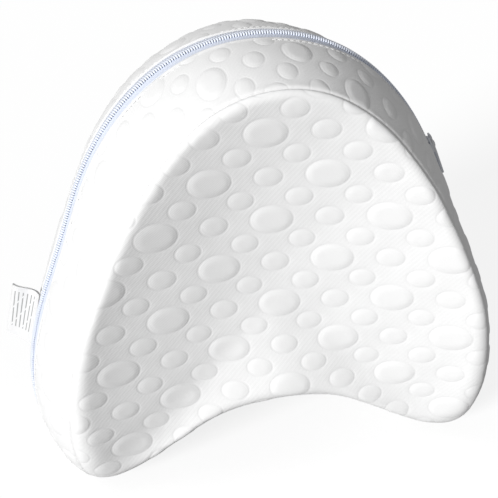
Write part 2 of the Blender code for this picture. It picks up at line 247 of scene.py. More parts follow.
class LevelSpline:
    """A smooth curve through the values of one column, level at both ends."""

    def __init__(self, knots: Points, values: Points) -> None:
        """Work out the curve's bends from its knots and values.

        Args:
            knots: rising places of the values.
            values: the values at them.
        """
        self.knots = knots
        self.values = values
        step = np.diff(knots)
        rise = np.diff(values) / step
        matrix = np.diag(2 * (np.append(step, 0) + np.append(0, step)))
        matrix += np.diag(step, 1) + np.diag(step, -1)
        target = 6 * np.diff(np.concatenate(([0.0], rise, [0.0])))
        self.bend = np.linalg.solve(matrix, target)

    def read(self, at: Points) -> Points:
        """Return the curve's values at the given knots.

        Args:
            at: places to read the curve at.

        Returns:
            The curve's values there.
        """
        k = np.clip(np.searchsorted(self.knots, at) - 1, 0, len(self.knots) - 2)
        step = self.knots[k + 1] - self.knots[k]
        right = (at - self.knots[k]) / step
        left = 1 - right
        sag = (left**3 - left) * self.bend[k] + (right**3 - right) * self.bend[k + 1]
        return left * self.values[k] + right * self.values[k + 1] + sag * step**2 / 6


@dataclass
class PillowShape:
    """The pillow's smooth outer surface: its band over (s, q) and its faces over (x, z).

    s runs round the crown from the notch and q across it, positive to the front.

    Attributes:
        rows: the half outline.
        centre_height: height of the centre that the angles turn about.
        middle_x: the pillow's middle plane.
        dish_half: half thickness in the middle of the dished faces.
        crown_power: how full the band's crown is.
        band_reach: q at the seams.
        roll_reach: q from a seam over the roll to the face.
    """

    rows: tuple[Station, ...] = HALF_OUTLINE
    centre_height: float = 0.1036
    middle_x: float = 0.0063
    dish_half: float = 0.0440
    crown_power: float = 2.05
    band_reach: float = 0.0600
    roll_reach: float = 0.0080
    columns: dict[str, LevelSpline] = field(default_factory=dict)

    def __post_init__(self) -> None:
        """Read the table as curves and measure the crown's length."""
        knots = np.array([row.angle for row in self.rows], dtype=float)
        for name in ("radius", "inset", "half", "roll"):
            values = np.array([getattr(row, name) for row in self.rows])
            self.columns[name] = LevelSpline(knots, values)
        self.angles = np.linspace(-90.0, 270.0, 1441)
        crown = self.place(self.angles, self.column("radius", self.angles), 0.0)
        runs = np.linalg.norm(np.diff(crown, axis=0), axis=1)
        self.lengths = np.concatenate(([0.0], np.cumsum(runs)))
        self.length = float(self.lengths[-1])

    def column(self, name: str, angle: Points) -> Points:
        """Return a column of the table at angles from -90 to 270 degrees."""
        return self.columns[name].read(np.where(angle <= 90, angle, 180 - angle))

    def place(self, angle: Points, radius: Points, depth: Points | float) -> Points:
        """Return the points at an angle and radius about the centre, with y = depth.

        Args:
            angle: degrees about the centre.
            radius: distance from it.
            depth: y of the points.

        Returns:
            (..., 3) points.
        """
        turn = np.radians(angle)
        return np.stack(np.broadcast_arrays(
            radius * np.cos(turn), depth, self.centre_height + radius * np.sin(turn)), axis=-1)

    def angle_at(self, s: Points) -> Points:
        """Return the angle of the station that lies s round the crown."""
        return np.interp(np.mod(s, self.length), self.lengths, self.angles)

    def dish(self, share: Points, half: Points) -> Points:
        """Return a face's half thickness at a share of the way out to the rim's corner."""
        return self.dish_half + (half - self.dish_half) * share**2

    def section(self, angle: Points, q: Points) -> tuple[Points, Points]:
        """Return radius and half thickness on the band's section.

        Args:
            angle: the stations' angles.
            q: places across the band, either side.

        Returns:
            Radius from the centre and distance from the middle plane.
        """
        radius, inset, half, roll = (
            self.column(name, angle) for name in ("radius", "inset", "half", "roll"))
        seam = 1 - roll / np.hypot(half, inset * self.crown_power)
        across = np.minimum(np.abs(q) / self.band_reach, 1.0) * seam
        start = (radius - inset * across**self.crown_power, half * across)
        turned = np.clip((np.abs(q) - self.band_reach) / self.roll_reach, 0.0, 1.0)
        corner = radius - inset
        end = (corner - roll, self.dish(1 - roll / corner, half))
        stay, over, reach = (1 - turned)**2, 2 * turned * (1 - turned), turned**2
        return (stay * start[0] + over * corner + reach * end[0],
                stay * start[1] + over * half + reach * end[1])

    def band(self, s: Points, q: Points) -> Points:
        """Return bare points of the band, before they are pressed on to the floor.

        Args:
            s: places round the crown.
            q: places across the band.

        Returns:
            (..., 3) points.
        """
        angle = self.angle_at(s)
        radius, half = self.section(angle, q)
        return self.place(angle, radius, np.where(q > 0, -half, half))

    def band_axes(self, s: Points, q: Points) -> tuple[Points, Points, Points]:
        """Return the unit directions along, across and out of the band.

        Args:
            s: places round the crown.
            q: places across the band.

        Returns:
            The three directions.
        """
        step = 0.4 * MM
        limit = self.band_reach + self.roll_reach
        along = self.band(s + step, q) - self.band(s - step, q)
        across = self.band(s, np.minimum(q + step, limit)) - self.band(s, np.maximum(q - step, -limit))
        return unit(along), unit(across), unit(np.cross(along, across))

    def on_band(self, s: Points, q: Points, lift: Points | float) -> Points:
        """Return points raised by lift over the band, in their place in the frame.

        Args:
            s: places round the crown.
            q: places across the band.
            lift: height over the band.

        Returns:
            (..., 3) points.
        """
        s, q, lift = np.broadcast_arrays(s, q, lift)
        raised = self.band(s, q) + self.band_axes(s, q)[2] * lift[..., None]
        return self.settle(raised)

    def settle(self, points: Points) -> Points:
        """Press points that would lie under the floor flat on to it and set them in the frame.

        Args:
            points: points about the middle plane.

        Returns:
            The moved points.
        """
        moved = points + np.array((self.middle_x, 0.0, 0.0))
        moved[..., 2] = np.maximum(moved[..., 2], 0.0)
        return moved

    def polar(self, x: Points, z: Points) -> tuple[Points, Points]:
        """Return the radius and angle of (x, z) about the centre.

        Args:
            x: distance from the middle plane.
            z: height.

        Returns:
            Radius, and degrees from -90 to 270.
        """
        rise = z - self.centre_height
        angle = np.degrees(np.arctan2(rise, x))
        return np.hypot(x, rise), np.where(angle >= -90, angle, angle + 360)

    def rim_radius(self, angle: Points) -> Points:
        """Return the radius where a face meets the roll."""
        radius, inset, roll = (self.column(name, angle) for name in ("radius", "inset", "roll"))
        return radius - inset - roll

    def face_half(self, x: Points, z: Points) -> Points:
        """Return half the pillow's thickness at (x, z) on a face.

        Args:
            x: distance from the middle plane.
            z: height.

        Returns:
            Half the thickness there.
        """
        radius, angle = self.polar(x, z)
        corner = self.column("radius", angle) - self.column("inset", angle)
        return self.dish(radius / corner, self.column("half", angle))

    def on_face(self, x: Points, z: Points, lift: Points, side: Side) -> Points:
        """Return points raised by lift over a face, in their place in the frame.

        Args:
            x: distance from the middle plane.
            z: height.
            lift: height over the face.
            side: which face.

        Returns:
            (..., 3) points.
        """
        step = 0.5 * MM
        half = self.face_half(x, z)
        slopes = ((self.face_half(x + step, z) - half) / step, (self.face_half(x, z + step) - half) / step)
        out = unit(np.stack((-slopes[0], np.ones_like(half), -slopes[1]), axis=-1))
        depth = -side.value * (half + out[..., 1] * lift)
        return self.settle(np.stack((x + out[..., 0] * lift, depth, z + out[..., 2] * lift), axis=-1))

    def flat_of_roll(self, s: Points, q: Points) -> Points:
        """Return where a point of the roll lies in the face's cloth when that is flat.

        Args:
            s: places round the crown.
            q: places across, past a seam.

        Returns:
            (N, 2) x and z in the flat face.
        """
        angle = self.angle_at(s)
        left = 1 - np.clip((np.abs(q) - self.band_reach) / self.roll_reach, 0.0, 1.0)
        radius = self.rim_radius(angle) + 1.62 * self.column("roll", angle) * left
        spot = self.place(angle, radius, 0.0)
        return spot[..., [0, 2]]


# The knit's repeat of puffed ovals


@dataclass(frozen=True)
class OvalKind:
    """One oval of the repeat: its place in half steps, its size and how far it puffs up."""

    place: tuple[int, int]
    length: float
    width: float
    puff: float


OVALS = (
    OvalKind((0, 0), 0.0216, 0.0154, 0.00048),
    OvalKind((1, 0), 0.0138, 0.0102, 0.00032),
    OvalKind((0, 1), 0.0132, 0.0100, 0.00032),
    OvalKind((1, 1), 0.0142, 0.0106, 0.00034),
)


@dataclass(frozen=True)
class OvalRepeat:
    """A lattice of ovals in flat cloth.

    Attributes:
        start: place of one large oval.
        step_up: half of the repeat's first step.
        step_down: half of its second step.
        tilt: angle of the ovals' long axes.
        stretch: how much longer the ovals are than their kinds say.
        groove: depth of the sewn-down ring.
        groove_width: half width of that ring.
        slope: how far in from the ring an oval reaches its full puff.
    """

    start: tuple[float, float]
    step_up: tuple[float, float]
    step_down: tuple[float, float]
    tilt: float
    stretch: float = 1.0
    groove: float = 0.00016
    groove_width: float = 0.0009
    slope: float = 0.0030

    def read(self, u: Points, v: Points) -> tuple[Points, Points]:
        """Return the distance to the nearest ring, negative inside, and the cloth's relief.

        Args:
            u: first place in the flat cloth.
            v: second place.

        Returns:
            Distance and relief, in metres.
        """
        basis = np.array((self.step_up, self.step_down)).T
        spot = np.stack((u - self.start[0], v - self.start[1]), axis=-1)
        steps = spot @ np.linalg.inv(basis).T
        nearest = np.full(u.shape, 1.0)
        relief = np.zeros(u.shape)
        for kind in OVALS:
            offset = np.array(kind.place)
            centre = (2 * np.round((steps - offset) / 2) + offset) @ basis.T
            du, dv = np.moveaxis(spot - centre, -1, 0)
            a = (du * cos(self.tilt) + dv * sin(self.tilt)) / (kind.length / 2 * self.stretch)
            b = (dv * cos(self.tilt) - du * sin(self.tilt)) / (kind.width / 2)
            norm = np.hypot(a, b)
            slope = np.hypot(a / kind.length, b / kind.width) * 2
            distance = (norm - 1) * norm / np.maximum(slope, 1e-9)
            distance = np.where(norm < 0.2, -kind.width / 2, distance)
            relief += kind.puff * smoothstep(0.0, self.slope, -distance)
            nearest = np.minimum(nearest, distance)
        relief -= self.groove * np.exp(-(nearest / self.groove_width)**2)
        return nearest, relief


FACE_OVALS = OvalRepeat((0.0003, 0.0973), (0.0133, 0.01135), (0.0152, -0.0125), radians(-9))
BAND_OVALS = OvalRepeat((0.3888, 0.0252), (0.0094, 0.0208), (0.0136, -0.0129), radians(82), 1.1)


# The cover


@dataclass
class Cover:
    """The filled pillow in its knit cover: two dished faces and a crowned band, sewn together.

    Attributes:
        shape: the smooth surface.
        pitch: mesh size along the band and over the faces.
        zip_span: s at both ends of the zip's channel.
        channel: half width of the channel that holds the zip.
        channel_depth: its depth.
        lip: how far the folded cloth stands up beside the zip.
        seam_depth: depth of the two long seams.
        seam_width: half width of their groove.
        pucker_pitch: length of one pucker along a seam.
        pucker: its height.
        welt: height of the swell beside a seam.
        end_depth: depth of the seams across the band at the zip's ends.
        sway_height: height of the filling's soft unevenness.
    """

    shape: PillowShape
    pitch: float = 0.0015
    zip_span: tuple[float, float] = (0.2549, 0.6755)
    channel: float = 0.0085
    channel_depth: float = 0.0010
    lip: float = 0.00045
    seam_depth: float = 0.0008
    seam_width: float = 0.0007
    pucker_pitch: float = 0.0052
    pucker: float = 0.00005
    welt: float = 0.00015
    end_depth: float = 0.00055
    sway_height: float = 0.00035

    def rows(self) -> Points:
        """Return the places across the band, closest at the seams and the zip.

        Returns:
            q of each row.
        """
        reach = self.shape.band_reach
        near_zip = np.array((0.0, 2.8, 5.6, 7.6, 8.4, 8.8, 9.2, 9.7, 10.4, 11.3)) * MM
        middle = np.linspace(0.0126, reach - 0.0032, 30)
        near_seam = reach + np.array((-2.2, -1.5, -1.0, -0.6, -0.3, 0, 0.3, 0.6, 1.0, 1.6)) * MM
        roll = np.linspace(reach + 0.0024, reach + self.shape.roll_reach, 6)
        half = np.concatenate((near_zip, middle, near_seam, roll))
        return np.concatenate((-half[:0:-1], half))

    def sway(self, points: Points) -> Points:
        """Return the soft unevenness of the filling at bare places.

        Args:
            points: points of the bare surface.

        Returns:
            A lift for each.
        """
        x, y, z = np.moveaxis(points, -1, 0)
        waves = np.sin(61 * x + 23 * z + 1.1) * np.sin(47 * z - 31 * y + 0.4)
        waves += 0.6 * np.sin(97 * x - 71 * z + 2.0) * np.sin(88 * y + 59 * z)
        return self.sway_height * waves

    def band_relief(self, s: Points, q: Points) -> tuple[Points, Points, Points]:
        """Return ring distance, lift and painted seam shade over the band.

        Args:
            s: places round the crown.
            q: places across the band.

        Returns:
            Distance to the nearest oval's ring, lift of the cloth and depth of painted shade in the seams and
            at the foot of the zip channel's walls.
        """
        reach = self.shape.band_reach
        from_seam = np.abs(np.abs(q) - reach)
        distance, puff = BAND_OVALS.read(s, q)
        flat = self.shape.flat_of_roll(s, q)
        roll_distance, roll_puff = FACE_OVALS.read(flat[..., 0], flat[..., 1])
        on_roll = np.abs(q) > reach
        distance = np.where(on_roll, roll_distance, distance)
        lift = np.where(on_roll, roll_puff, puff) * smoothstep(0.0008, 0.0045, from_seam)
        groove = np.exp(-(from_seam / self.seam_width)**2)
        welt = np.exp(-((from_seam - 0.0024) / 0.0013)**2)
        pucker = np.cos(2 * pi * s / self.pucker_pitch) * np.exp(-(from_seam / 0.0032)**2)
        lift += self.welt * welt - self.seam_depth * groove + self.pucker * pucker
        ends = self.end_seams(s)
        across = np.exp(-(ends / 0.0009)**2) * (np.abs(q) < reach)
        lift -= self.end_depth * across
        beside = np.abs(q) - self.channel
        inside = smoothstep(-0.0006, 0.0008, self.zip_room(s))
        wall = 1 - smoothstep(-0.0001, 0.0007, beside)
        fold = np.exp(-((beside - 0.0013) / 0.0010)**2)
        open_cloth = 1 - inside * (1 - smoothstep(0.0006, 0.0034, beside))
        lift = lift * open_cloth + inside * (self.lip * fold - self.channel_depth * wall)
        # Painted shade: darkness for the seam grooves, the seams across the band at the zip's ends and the
        # foot of the channel's walls, where shade falls.
        shade = np.maximum(groove, 0.7 * across * (1 - inside * wall))
        shade = np.maximum(shade, inside * np.exp(-((beside - 0.0002) / 0.0005)**2))
        distance = np.where(inside * (beside < 0.0012) > 0.5, 0.01, distance)
        return distance, lift, shade

    def zip_room(self, s: Points) -> Points:
        """Return how far inside the zip's channel a place lies, along the band."""
        first, last = self.zip_span
        return np.minimum(s - first, last - s)

    def end_seams(self, s: Points) -> Points:
        """Return the distance to the nearer of the two seams across the band at the zip's ends."""
        first, last = self.zip_span
        return np.minimum(np.abs(s - first + 0.0008), np.abs(s - last - 0.0008))

    def face_mesh(self, rim: Points) -> tuple[Points, list[tuple[int, int, int]]]:
        """Fill a face's rim with an even net of triangles.

        Args:
            rim: (N, 2) x and z round the rim.

        Returns:
            The inner points and the triangles, numbered with the rim first.
        """
        low, high = rim.min(axis=0), rim.max(axis=0)
        pitch = self.pitch * 1.08
        lines = np.arange(low[1], high[1], pitch * 0.866)
        net = []
        for number, z in enumerate(lines):
            x = np.arange(low[0], high[0], pitch) + pitch / 2 * (number % 2)
            net.append(np.stack((x, np.full_like(x, z)), axis=-1))
        net = np.concatenate(net)
        net = net[self.depth_inside(net) > pitch * 0.75]
        places = np.concatenate((rim, net))
        edges = [(k, (k + 1) % len(rim)) for k in range(len(rim))]
        found = delaunay_2d_cdt([Vector(place) for place in places], edges, [], 0, 1e-7, True)
        origin = [numbers[0] for numbers in found[3]]
        triangles = np.array([[origin[k] for k in corners] for corners in found[2]])
        inside = self.depth_inside(places[triangles].mean(axis=1)) > 0
        return net, [tuple(int(k) for k in corners) for corners in triangles[inside]]

    def depth_inside(self, places: Points) -> Points:
        """Return how far places (x, z) lie inside the rim of a face."""
        radius, angle = self.shape.polar(places[..., 0], places[..., 1])
        return self.shape.rim_radius(angle) - radius

    def build(self) -> bpy.types.Mesh:
        """Build the whole cover as one closed mesh with its cloth places, its relief values and its painted
        seam shade.

        Returns:
            The mesh.
        """
        shape = self.shape
        columns = int(round(shape.length / self.pitch))
        stations = np.arange(columns) * shape.length / columns
        rows = self.rows()
        s, q = np.meshgrid(stations, rows, indexing="ij")
        distance, lift, shade = self.band_relief(s, q)
        band = shape.on_band(s, q, lift + self.sway(shape.band(s, q)))
        across = len(rows)
        rim = shape.band(stations, np.full(columns, rows[-1]))[:, [0, 2]]
        net, triangles = self.face_mesh(rim)
        ring, puff = FACE_OVALS.read(net[:, 0], net[:, 1])
        points, rings, painted_shades = [band.reshape(-1, 3)], [distance.ravel()], [shade.ravel()]
        faces, uv = self.band_faces(stations, rows)
        for side in Side:
            depth = -side.value * shape.face_half(net[:, 0], net[:, 1])
            bare = np.stack((net[:, 0], depth, net[:, 1]), axis=-1)
            start = sum(len(part) for part in points)
            points.append(shape.on_face(net[:, 0], net[:, 1], puff + self.sway(bare), side))
            rings.append(ring)
            painted_shades.append(np.zeros(len(net)))
            row = across - 1 if side is Side.FRONT else 0
            flat = np.concatenate((rim, net))
            for corners in triangles:
                order = corners if side is Side.FRONT else corners[::-1]
                faces.append([k * across + row if k < columns else start + k - columns for k in order])
                uv.extend(flat[list(order)])
        mesh = new_mesh("pillow_cover", np.concatenate(points), faces)
        set_corner_uv(mesh, np.array(uv))
        set_point_values(mesh, "ring_mm", np.concatenate(rings) / MM)
        # The seam attribute carries the painted shade of the seams and the zip channel's walls.
        set_point_values(mesh, "seam", np.concatenate(painted_shades))
        return mesh

    def band_faces(self, stations: Points, rows: Points) -> tuple[list[list[int]], list[Points]]:
        """Return the band's faces and the cloth places of their corners.

        Args:
            stations: s of the columns.
            rows: q of the rows.

        Returns:
            The faces and their UV pairs.
        """
        count, across = len(stations), len(rows)
        edge = np.append(stations, self.shape.length)
        s, q = np.meshgrid(edge, rows, indexing="ij")
        on_band = np.stack((s, q), axis=-1)
        on_face = self.shape.flat_of_roll(s, q)
        on_face[-1] = on_face[0]
        faces, uv = [], []
        for k in range(count):
            after = (k + 1) % count
            for r in range(across - 1):
                faces.append([k * across + r, after * across + r, after * across + r + 1, k * across + r + 1])
                middle = abs(rows[r] + rows[r + 1]) / 2
                cloth = on_face if middle > self.shape.band_reach else on_band
                uv.extend((cloth[k, r], cloth[k + 1, r], cloth[k + 1, r + 1], cloth[k, r + 1]))
        return faces, uv

    def dress(self, material: bpy.types.Material) -> bpy.types.Object:
        """Add the cover to the scene in place of the plain filled solid.

        Args:
            material: the knit.

        Returns:
            The cover.
        """
        piece = add_piece(self.build(), material)
        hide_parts("pillow_body")
        return piece


# Units that repeat along a path


class PathUnits:
    """A node tree that sets copies of one small unit along a path."""

    def __init__(self) -> None:
        """Build the tree and keep the identifiers of its inputs."""
        tree = bpy.data.node_groups.new("units_on_path", "GeometryNodeTree")
        self.tree = tree
        self.inputs: dict[str, str] = {}
        sockets = tree.interface
        sockets.new_socket("Geometry", in_out="OUTPUT", socket_type="NodeSocketGeometry")
        for name, kind in (("Path", "Geometry"), ("Unit", "Object"), ("Pitch", "Float"),
                           ("Size", "Vector"), ("Finish", "Material")):
            item = sockets.new_socket(name, in_out="INPUT", socket_type="NodeSocket" + kind)
            self.inputs[name] = item.identifier
        graph = Graph(tree)
        given = graph.add("NodeGroupInput")
        curve = graph.add("GeometryNodeMeshToCurve", {"Mesh": given.outputs["Path"]})
        even = graph.add("GeometryNodeResampleCurve",
                         {"Curve": curve.outputs["Curve"], "Length": given.outputs["Pitch"]}, mode="LENGTH")
        out = graph.add("GeometryNodeInputNamedAttribute", {"Name": "out"}, data_type="FLOAT_VECTOR")
        tangent = graph.add("GeometryNodeInputTangent")
        turn = graph.add("FunctionNodeAxesToRotation",
                         {"Primary Axis": out.outputs["Attribute"], "Secondary Axis": tangent.outputs[0]},
                         primary_axis="Z", secondary_axis="X")
        unit_info = graph.add("GeometryNodeObjectInfo", {"Object": given.outputs["Unit"]})
        copies = graph.add("GeometryNodeInstanceOnPoints", {
            "Points": even.outputs["Curve"], "Instance": unit_info.outputs["Geometry"],
            "Rotation": turn.outputs[0], "Scale": given.outputs["Size"]})
        real = graph.add("GeometryNodeRealizeInstances", {"Geometry": copies.outputs["Instances"]})
        dressed = graph.add("GeometryNodeSetMaterial",
                            {"Geometry": real.outputs[0], "Material": given.outputs["Finish"]})
        graph.add("NodeGroupOutput", {"Geometry": dressed.outputs[0]})

    def lay(self, name: str, path: Points, out: Points, unit_mesh: bpy.types.Mesh, pitch: float,
            size: tuple[float, float, float], material: bpy.types.Material) -> bpy.types.Mesh:
        """Set units along a path and return them as one plain mesh.

        Args:
            name: the new mesh's name.
            path: (N, 3) points of the path.
            out: (N, 3) the units' upward direction at each.
            unit_mesh: the unit, x along the path and z up.
            pitch: distance from unit to unit.
            size: scale of a unit.
            material: its finish.

        Returns:
            The mesh of all the units.
        """
        line = bpy.data.meshes.new(name)
        edges = [(k, k + 1) for k in range(len(path) - 1)]
        line.from_pydata([tuple(point) for point in path], edges, [])
        layer = line.attributes.new("out", "FLOAT_VECTOR", "POINT")
        layer.data.foreach_set("vector", np.asarray(out, dtype=np.float32).ravel())
        carrier = bpy.data.objects.new(name, line)
        sample = bpy.data.objects.new("unit", unit_mesh)
        for item in (carrier, sample):
            bpy.context.scene.collection.objects.link(item)
        modifier = carrier.modifiers.new("units", "NODES")
        modifier.node_group = self.tree
        for key, value in (("Unit", sample), ("Pitch", pitch), ("Size", size), ("Finish", material)):
            modifier[self.inputs[key]] = value
        mesh = bake_modifiers(carrier)
        bpy.data.objects.remove(sample, do_unlink=True)
        mesh.shade_smooth()
        return mesh


def thread_unit() -> bpy.types.Mesh:
    """Return one stitch of thread, a small rounded bead of length one."""
    bm = bmesh.new()
    bmesh.ops.create_uvsphere(bm, u_segments=8, v_segments=6, radius=0.5,
                              matrix=Matrix.Rotation(pi / 2, 4, "Y"))
    mesh = bpy.data.meshes.new("stitch")
    bm.to_mesh(mesh)
    bm.free()
    return mesh


# The zip


@dataclass
class Zip:
    """The zip over the arch: two woven tapes, a closed coil of nylon, a slider and its pull.

    Attributes:
        shape: the surface that it lies on.
        units: the tree that lays the coil's turns.
        span: s at both ends of the tapes.
        floor: lift of the tapes' underside.
        tape: inner and outer edge of a tape, across the band.
        tape_thick: thickness of the tapes.
        coil_half: reach of a coil from the middle.
        coil_rise: lift of the coil's top.
        tooth_pitch: distance between two turns of one coil.
        slider_at: s of the slider's middle.
    """

    shape: PillowShape
    units: PathUnits
    span: tuple[float, float] = (0.2589, 0.6714)
    floor: float = -0.0007
    tape: tuple[float, float] = (0.0006, 0.0086)
    tape_thick: float = 0.0006
    coil_half: float = 0.0021
    coil_rise: float = 0.0012
    tooth_pitch: float = 0.0013
    slider_at: float = 0.2830

    def stations(self, pitch: float) -> Points:
        """Return even places along the zip."""
        first, last = self.span
        return np.linspace(first, last, int(round((last - first) / pitch)) + 1)

    def tape_mesh(self, side: Side) -> bpy.types.Mesh:
        """Build one woven tape with a thicker edge beside the coil.

        Args:
            side: the half of the band that it lies on.

        Returns:
            The mesh.
        """
        inner, outer = self.tape
        width = outer - inner
        share = np.linspace(0.0, 1.0, 10)
        top = self.floor + self.tape_thick * (0.82 + 0.30 * np.exp(-((share - 0.34) / 0.10)**2))
        over = np.stack((inner + width * share, top), axis=-1)
        under = np.stack((inner + width * share[::-1], np.full(10, self.floor)), axis=-1)
        section = np.concatenate((over, under))
        spots = self.stations(0.0016)
        s = np.repeat(spots[:, None], len(section), axis=1)
        q = np.repeat(side.value * section[None, :, 0], len(spots), axis=0)
        lift = np.repeat(section[None, :, 1], len(spots), axis=0)
        rings = self.shape.on_band(s, q, lift)
        return loft(f"tape_{side.name.lower()}", rings, np.stack((s, q), axis=-1))

    def tooth(self, side: Side) -> bpy.types.Mesh:
        """Build one turn of a coil: a bent nylon bar from the tape over the top to the middle.

        Args:
            side: the side that the turn is sewn to.

        Returns:
            The turn, x along the zip, y across it, z out of the cloth.
        """
        reach, top = self.coil_half, self.coil_rise
        path = np.array((
            (reach * 0.98, self.floor + 0.0005),
            (reach * 0.94, top * 0.45),
            (reach * 0.66, top * 0.86),
            (reach * 0.10, top * 0.90),
            (-reach * 0.26, top * 0.66),
            (-reach * 0.34, top * 0.10),
        ))
        wide = np.array((0.50, 0.56, 0.58, 0.60, 0.64, 0.56)) * MM
        tall = np.array((0.34, 0.36, 0.36, 0.36, 0.40, 0.34)) * MM
        heading = unit(np.gradient(path, axis=0))
        turns = np.linspace(0, 2 * pi, 6, endpoint=False) + pi / 6
        rings = []
        for (y, z), (dy, dz), w, t in zip(path, heading, wide, tall):
            ring = [(w * cos(turn), side.value * (y - dz * t * sin(turn)), z + dy * t * sin(turn))
                    for turn in turns]
            rings.append(ring)
        return loft("tooth", np.array(rings))

    def coil_mesh(self, material: bpy.types.Material) -> bpy.types.Mesh:
        """Build both coils, their turns set between each other.

        Args:
            material: the nylon.

        Returns:
            The mesh.
        """
        halves = []
        for side in Side:
            s = self.stations(0.002) + (self.tooth_pitch / 2 if side is Side.REAR else 0.0)
            s = s[s < self.span[1]]
            zero = np.zeros_like(s)
            path = self.shape.on_band(s, zero, 0.0)
            out = self.shape.band_axes(s, zero)[2]
            halves.append(self.units.lay(f"coil_{side.name.lower()}", path, out, self.tooth(side),
                                         self.tooth_pitch, (1, 1, 1), material))
        return join_meshes("coil", halves)

    def slider_frame(self, lift: float) -> Matrix:
        """Return the frame at the slider: x along the zip, y across it, z out.

        Args:
            lift: height over the band.

        Returns:
            The frame as a matrix.
        """
        s, zero = np.array([self.slider_at]), np.zeros(1)
        base = self.shape.on_band(s, zero, lift)[0]
        along, _, out = (axis[0] for axis in self.shape.band_axes(s, zero))
        across = np.cross(out, along)
        turn = Matrix(np.stack((along, across, out)).tolist()).transposed().to_4x4()
        return Matrix.Translation(base) @ turn

    def slider_mesh(self) -> bpy.types.Mesh:
        """Build the slider: a shaped plate with side flanges and an arched bridge.

        Returns:
            The mesh.
        """
        top = self.coil_rise + 0.0003
        outline = [(4.5, 1.5), (3.4, 2.9), (1.6, 3.6), (-1.2, 3.5), (-3.4, 3.0), (-4.5, 2.5)]
        outline = [(x * MM, y * MM) for x, y in outline]
        outline += [(x, -y) for x, y in reversed(outline)]
        bm = bmesh.new()
        add_prism(bm, outline, top, top + 0.0011)
        for sign in (1, -1):
            flange = [(-4.2, 2.2), (-4.2, 3.0), (-1.2, 3.55), (1.8, 3.55), (1.4, 2.6), (-1.2, 2.5)]
            add_prism(bm, [(x * MM, sign * y * MM) for x, y in flange], -0.0002, top + 0.0002)
        arch = []
        for turn in np.linspace(0, pi, 9):
            arch.append((3.3 * MM * cos(turn), top + 0.0008 + 2.2 * MM * sin(turn)**0.8))
        add_strip(bm, arch, 0.0026, 0.0007)
        finish_solid(bm, 0.00022)
        bmesh.ops.transform(bm, matrix=self.slider_frame(0.0), verts=bm.verts)
        mesh = bpy.data.meshes.new("slider")
        bm.to_mesh(mesh)
        bm.free()
        mesh.shade_smooth()
        mesh.set_sharp_from_angle(angle=radians(40))
        return mesh

    def pull_mesh(self) -> bpy.types.Mesh:
        """Build the pull: a flat tab with a raised edge, a square eye and a rounded tip.

        Returns:
            The mesh.
        """
        level = self.coil_rise + 0.0003 + 0.0011 + 0.0004
        half, tip, head = 2.4 * MM, -19.2 * MM, 5.6 * MM
        outer = [(head, half * 0.72), (head - 0.0012, half), (-6.0 * MM, half * 0.94)]
        for turn in np.linspace(pi / 2, pi, 5):
            outer.append((tip + 0.0022 + 0.0022 * cos(turn), half * 0.86 * sin(turn)))
        outer += [(x, -y) for x, y in reversed(outer[:-1])]
        hole = []
        for x, y in outer:
            hole.append((min(max(x * 0.9, -4.6 * MM), 4.6 * MM), float(np.clip(y, -1.55 * MM, 1.55 * MM))))
        bm = bmesh.new()
        add_frame(bm, outer, hole, level, level + 0.0008)
        finish_solid(bm, 0.00018)
        for vert in bm.verts:
            past = max(-vert.co.x - 0.0048, 0.0)
            vert.co.z -= min(past * 0.30, 0.0006)
        bmesh.ops.transform(bm, matrix=self.slider_frame(0.0), verts=bm.verts)
        mesh = bpy.data.meshes.new("pull")
        bm.to_mesh(mesh)
        bm.free()
        mesh.shade_smooth()
        mesh.set_sharp_from_angle(angle=radians(40))
        return mesh

    def dress(self, finishes: "FinishSet") -> None:
        """Add the tapes, the coil, the slider and the pull to the scene.

        Args:
            finishes: every finish.
        """
        for side in Side:
            tape = add_piece(self.tape_mesh(side), finishes.tape)
            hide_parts(f"zip_tape_{side.name.lower()}")
        coil = add_piece(self.coil_mesh(finishes.nylon), finishes.nylon)
        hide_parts("zip_coil")
        slider = add_piece(self.slider_mesh(), finishes.enamel)
        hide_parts("zip_slider")
        pull = add_piece(self.pull_mesh(), finishes.enamel)
        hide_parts("zip_pull")


def join_meshes(name: str, meshes: Sequence[bpy.types.Mesh]) -> bpy.types.Mesh:
    """Join plain meshes into one.

    Args:
        name: the new mesh's name.
        meshes: the meshes to join.

    Returns:
        The joined mesh.
    """
    bm = bmesh.new()
    for mesh in meshes:
        bm.from_mesh(mesh)
    joined = bpy.data.meshes.new(name)
    bm.to_mesh(joined)
    bm.free()
    joined.shade_smooth()
    return joined


def add_prism(bm: bmesh.types.BMesh, outline: Sequence[tuple[float, float]], low: float, high: float) -> None:
    """Add an upright prism over a flat outline.

    Args:
        bm: the mesh to add to.
        outline: its (x, y) corners.
        low: z of its foot.
        high: z of its top.
    """
    near = [bm.verts.new((x, y, low)) for x, y in outline]
    far = [bm.verts.new((x, y, high)) for x, y in outline]
    for k in range(len(outline)):
        bm.faces.new((near[k - 1], near[k], far[k], far[k - 1]))
    bm.faces.new(near)
    bm.faces.new(reversed(far))


def add_strip(bm: bmesh.types.BMesh, path: Sequence[tuple[float, float]], width: float, thick: float) -> None:
    """Add a bent strip of a width along y that follows a path of (x, z) points.

    Args:
        bm: the mesh to add to.
        path: points of its underside.
        width: its width.
        thick: its thickness.
    """
    spots = np.array(path)
    heading = unit(np.gradient(spots, axis=0))
    rings = []
    for (x, z), (dx, dz) in zip(spots, heading):
        ring = [bm.verts.new((x - dz * t, y, z + dx * t))
                for y, t in ((-width / 2, 0), (width / 2, 0), (width / 2, thick), (-width / 2, thick))]
        rings.append(ring)
    for near, far in zip(rings, rings[1:]):
        for k in range(4):
            bm.faces.new((near[k - 1], near[k], far[k], far[k - 1]))
    bm.faces.new(rings[0])
    bm.faces.new(reversed(rings[-1]))


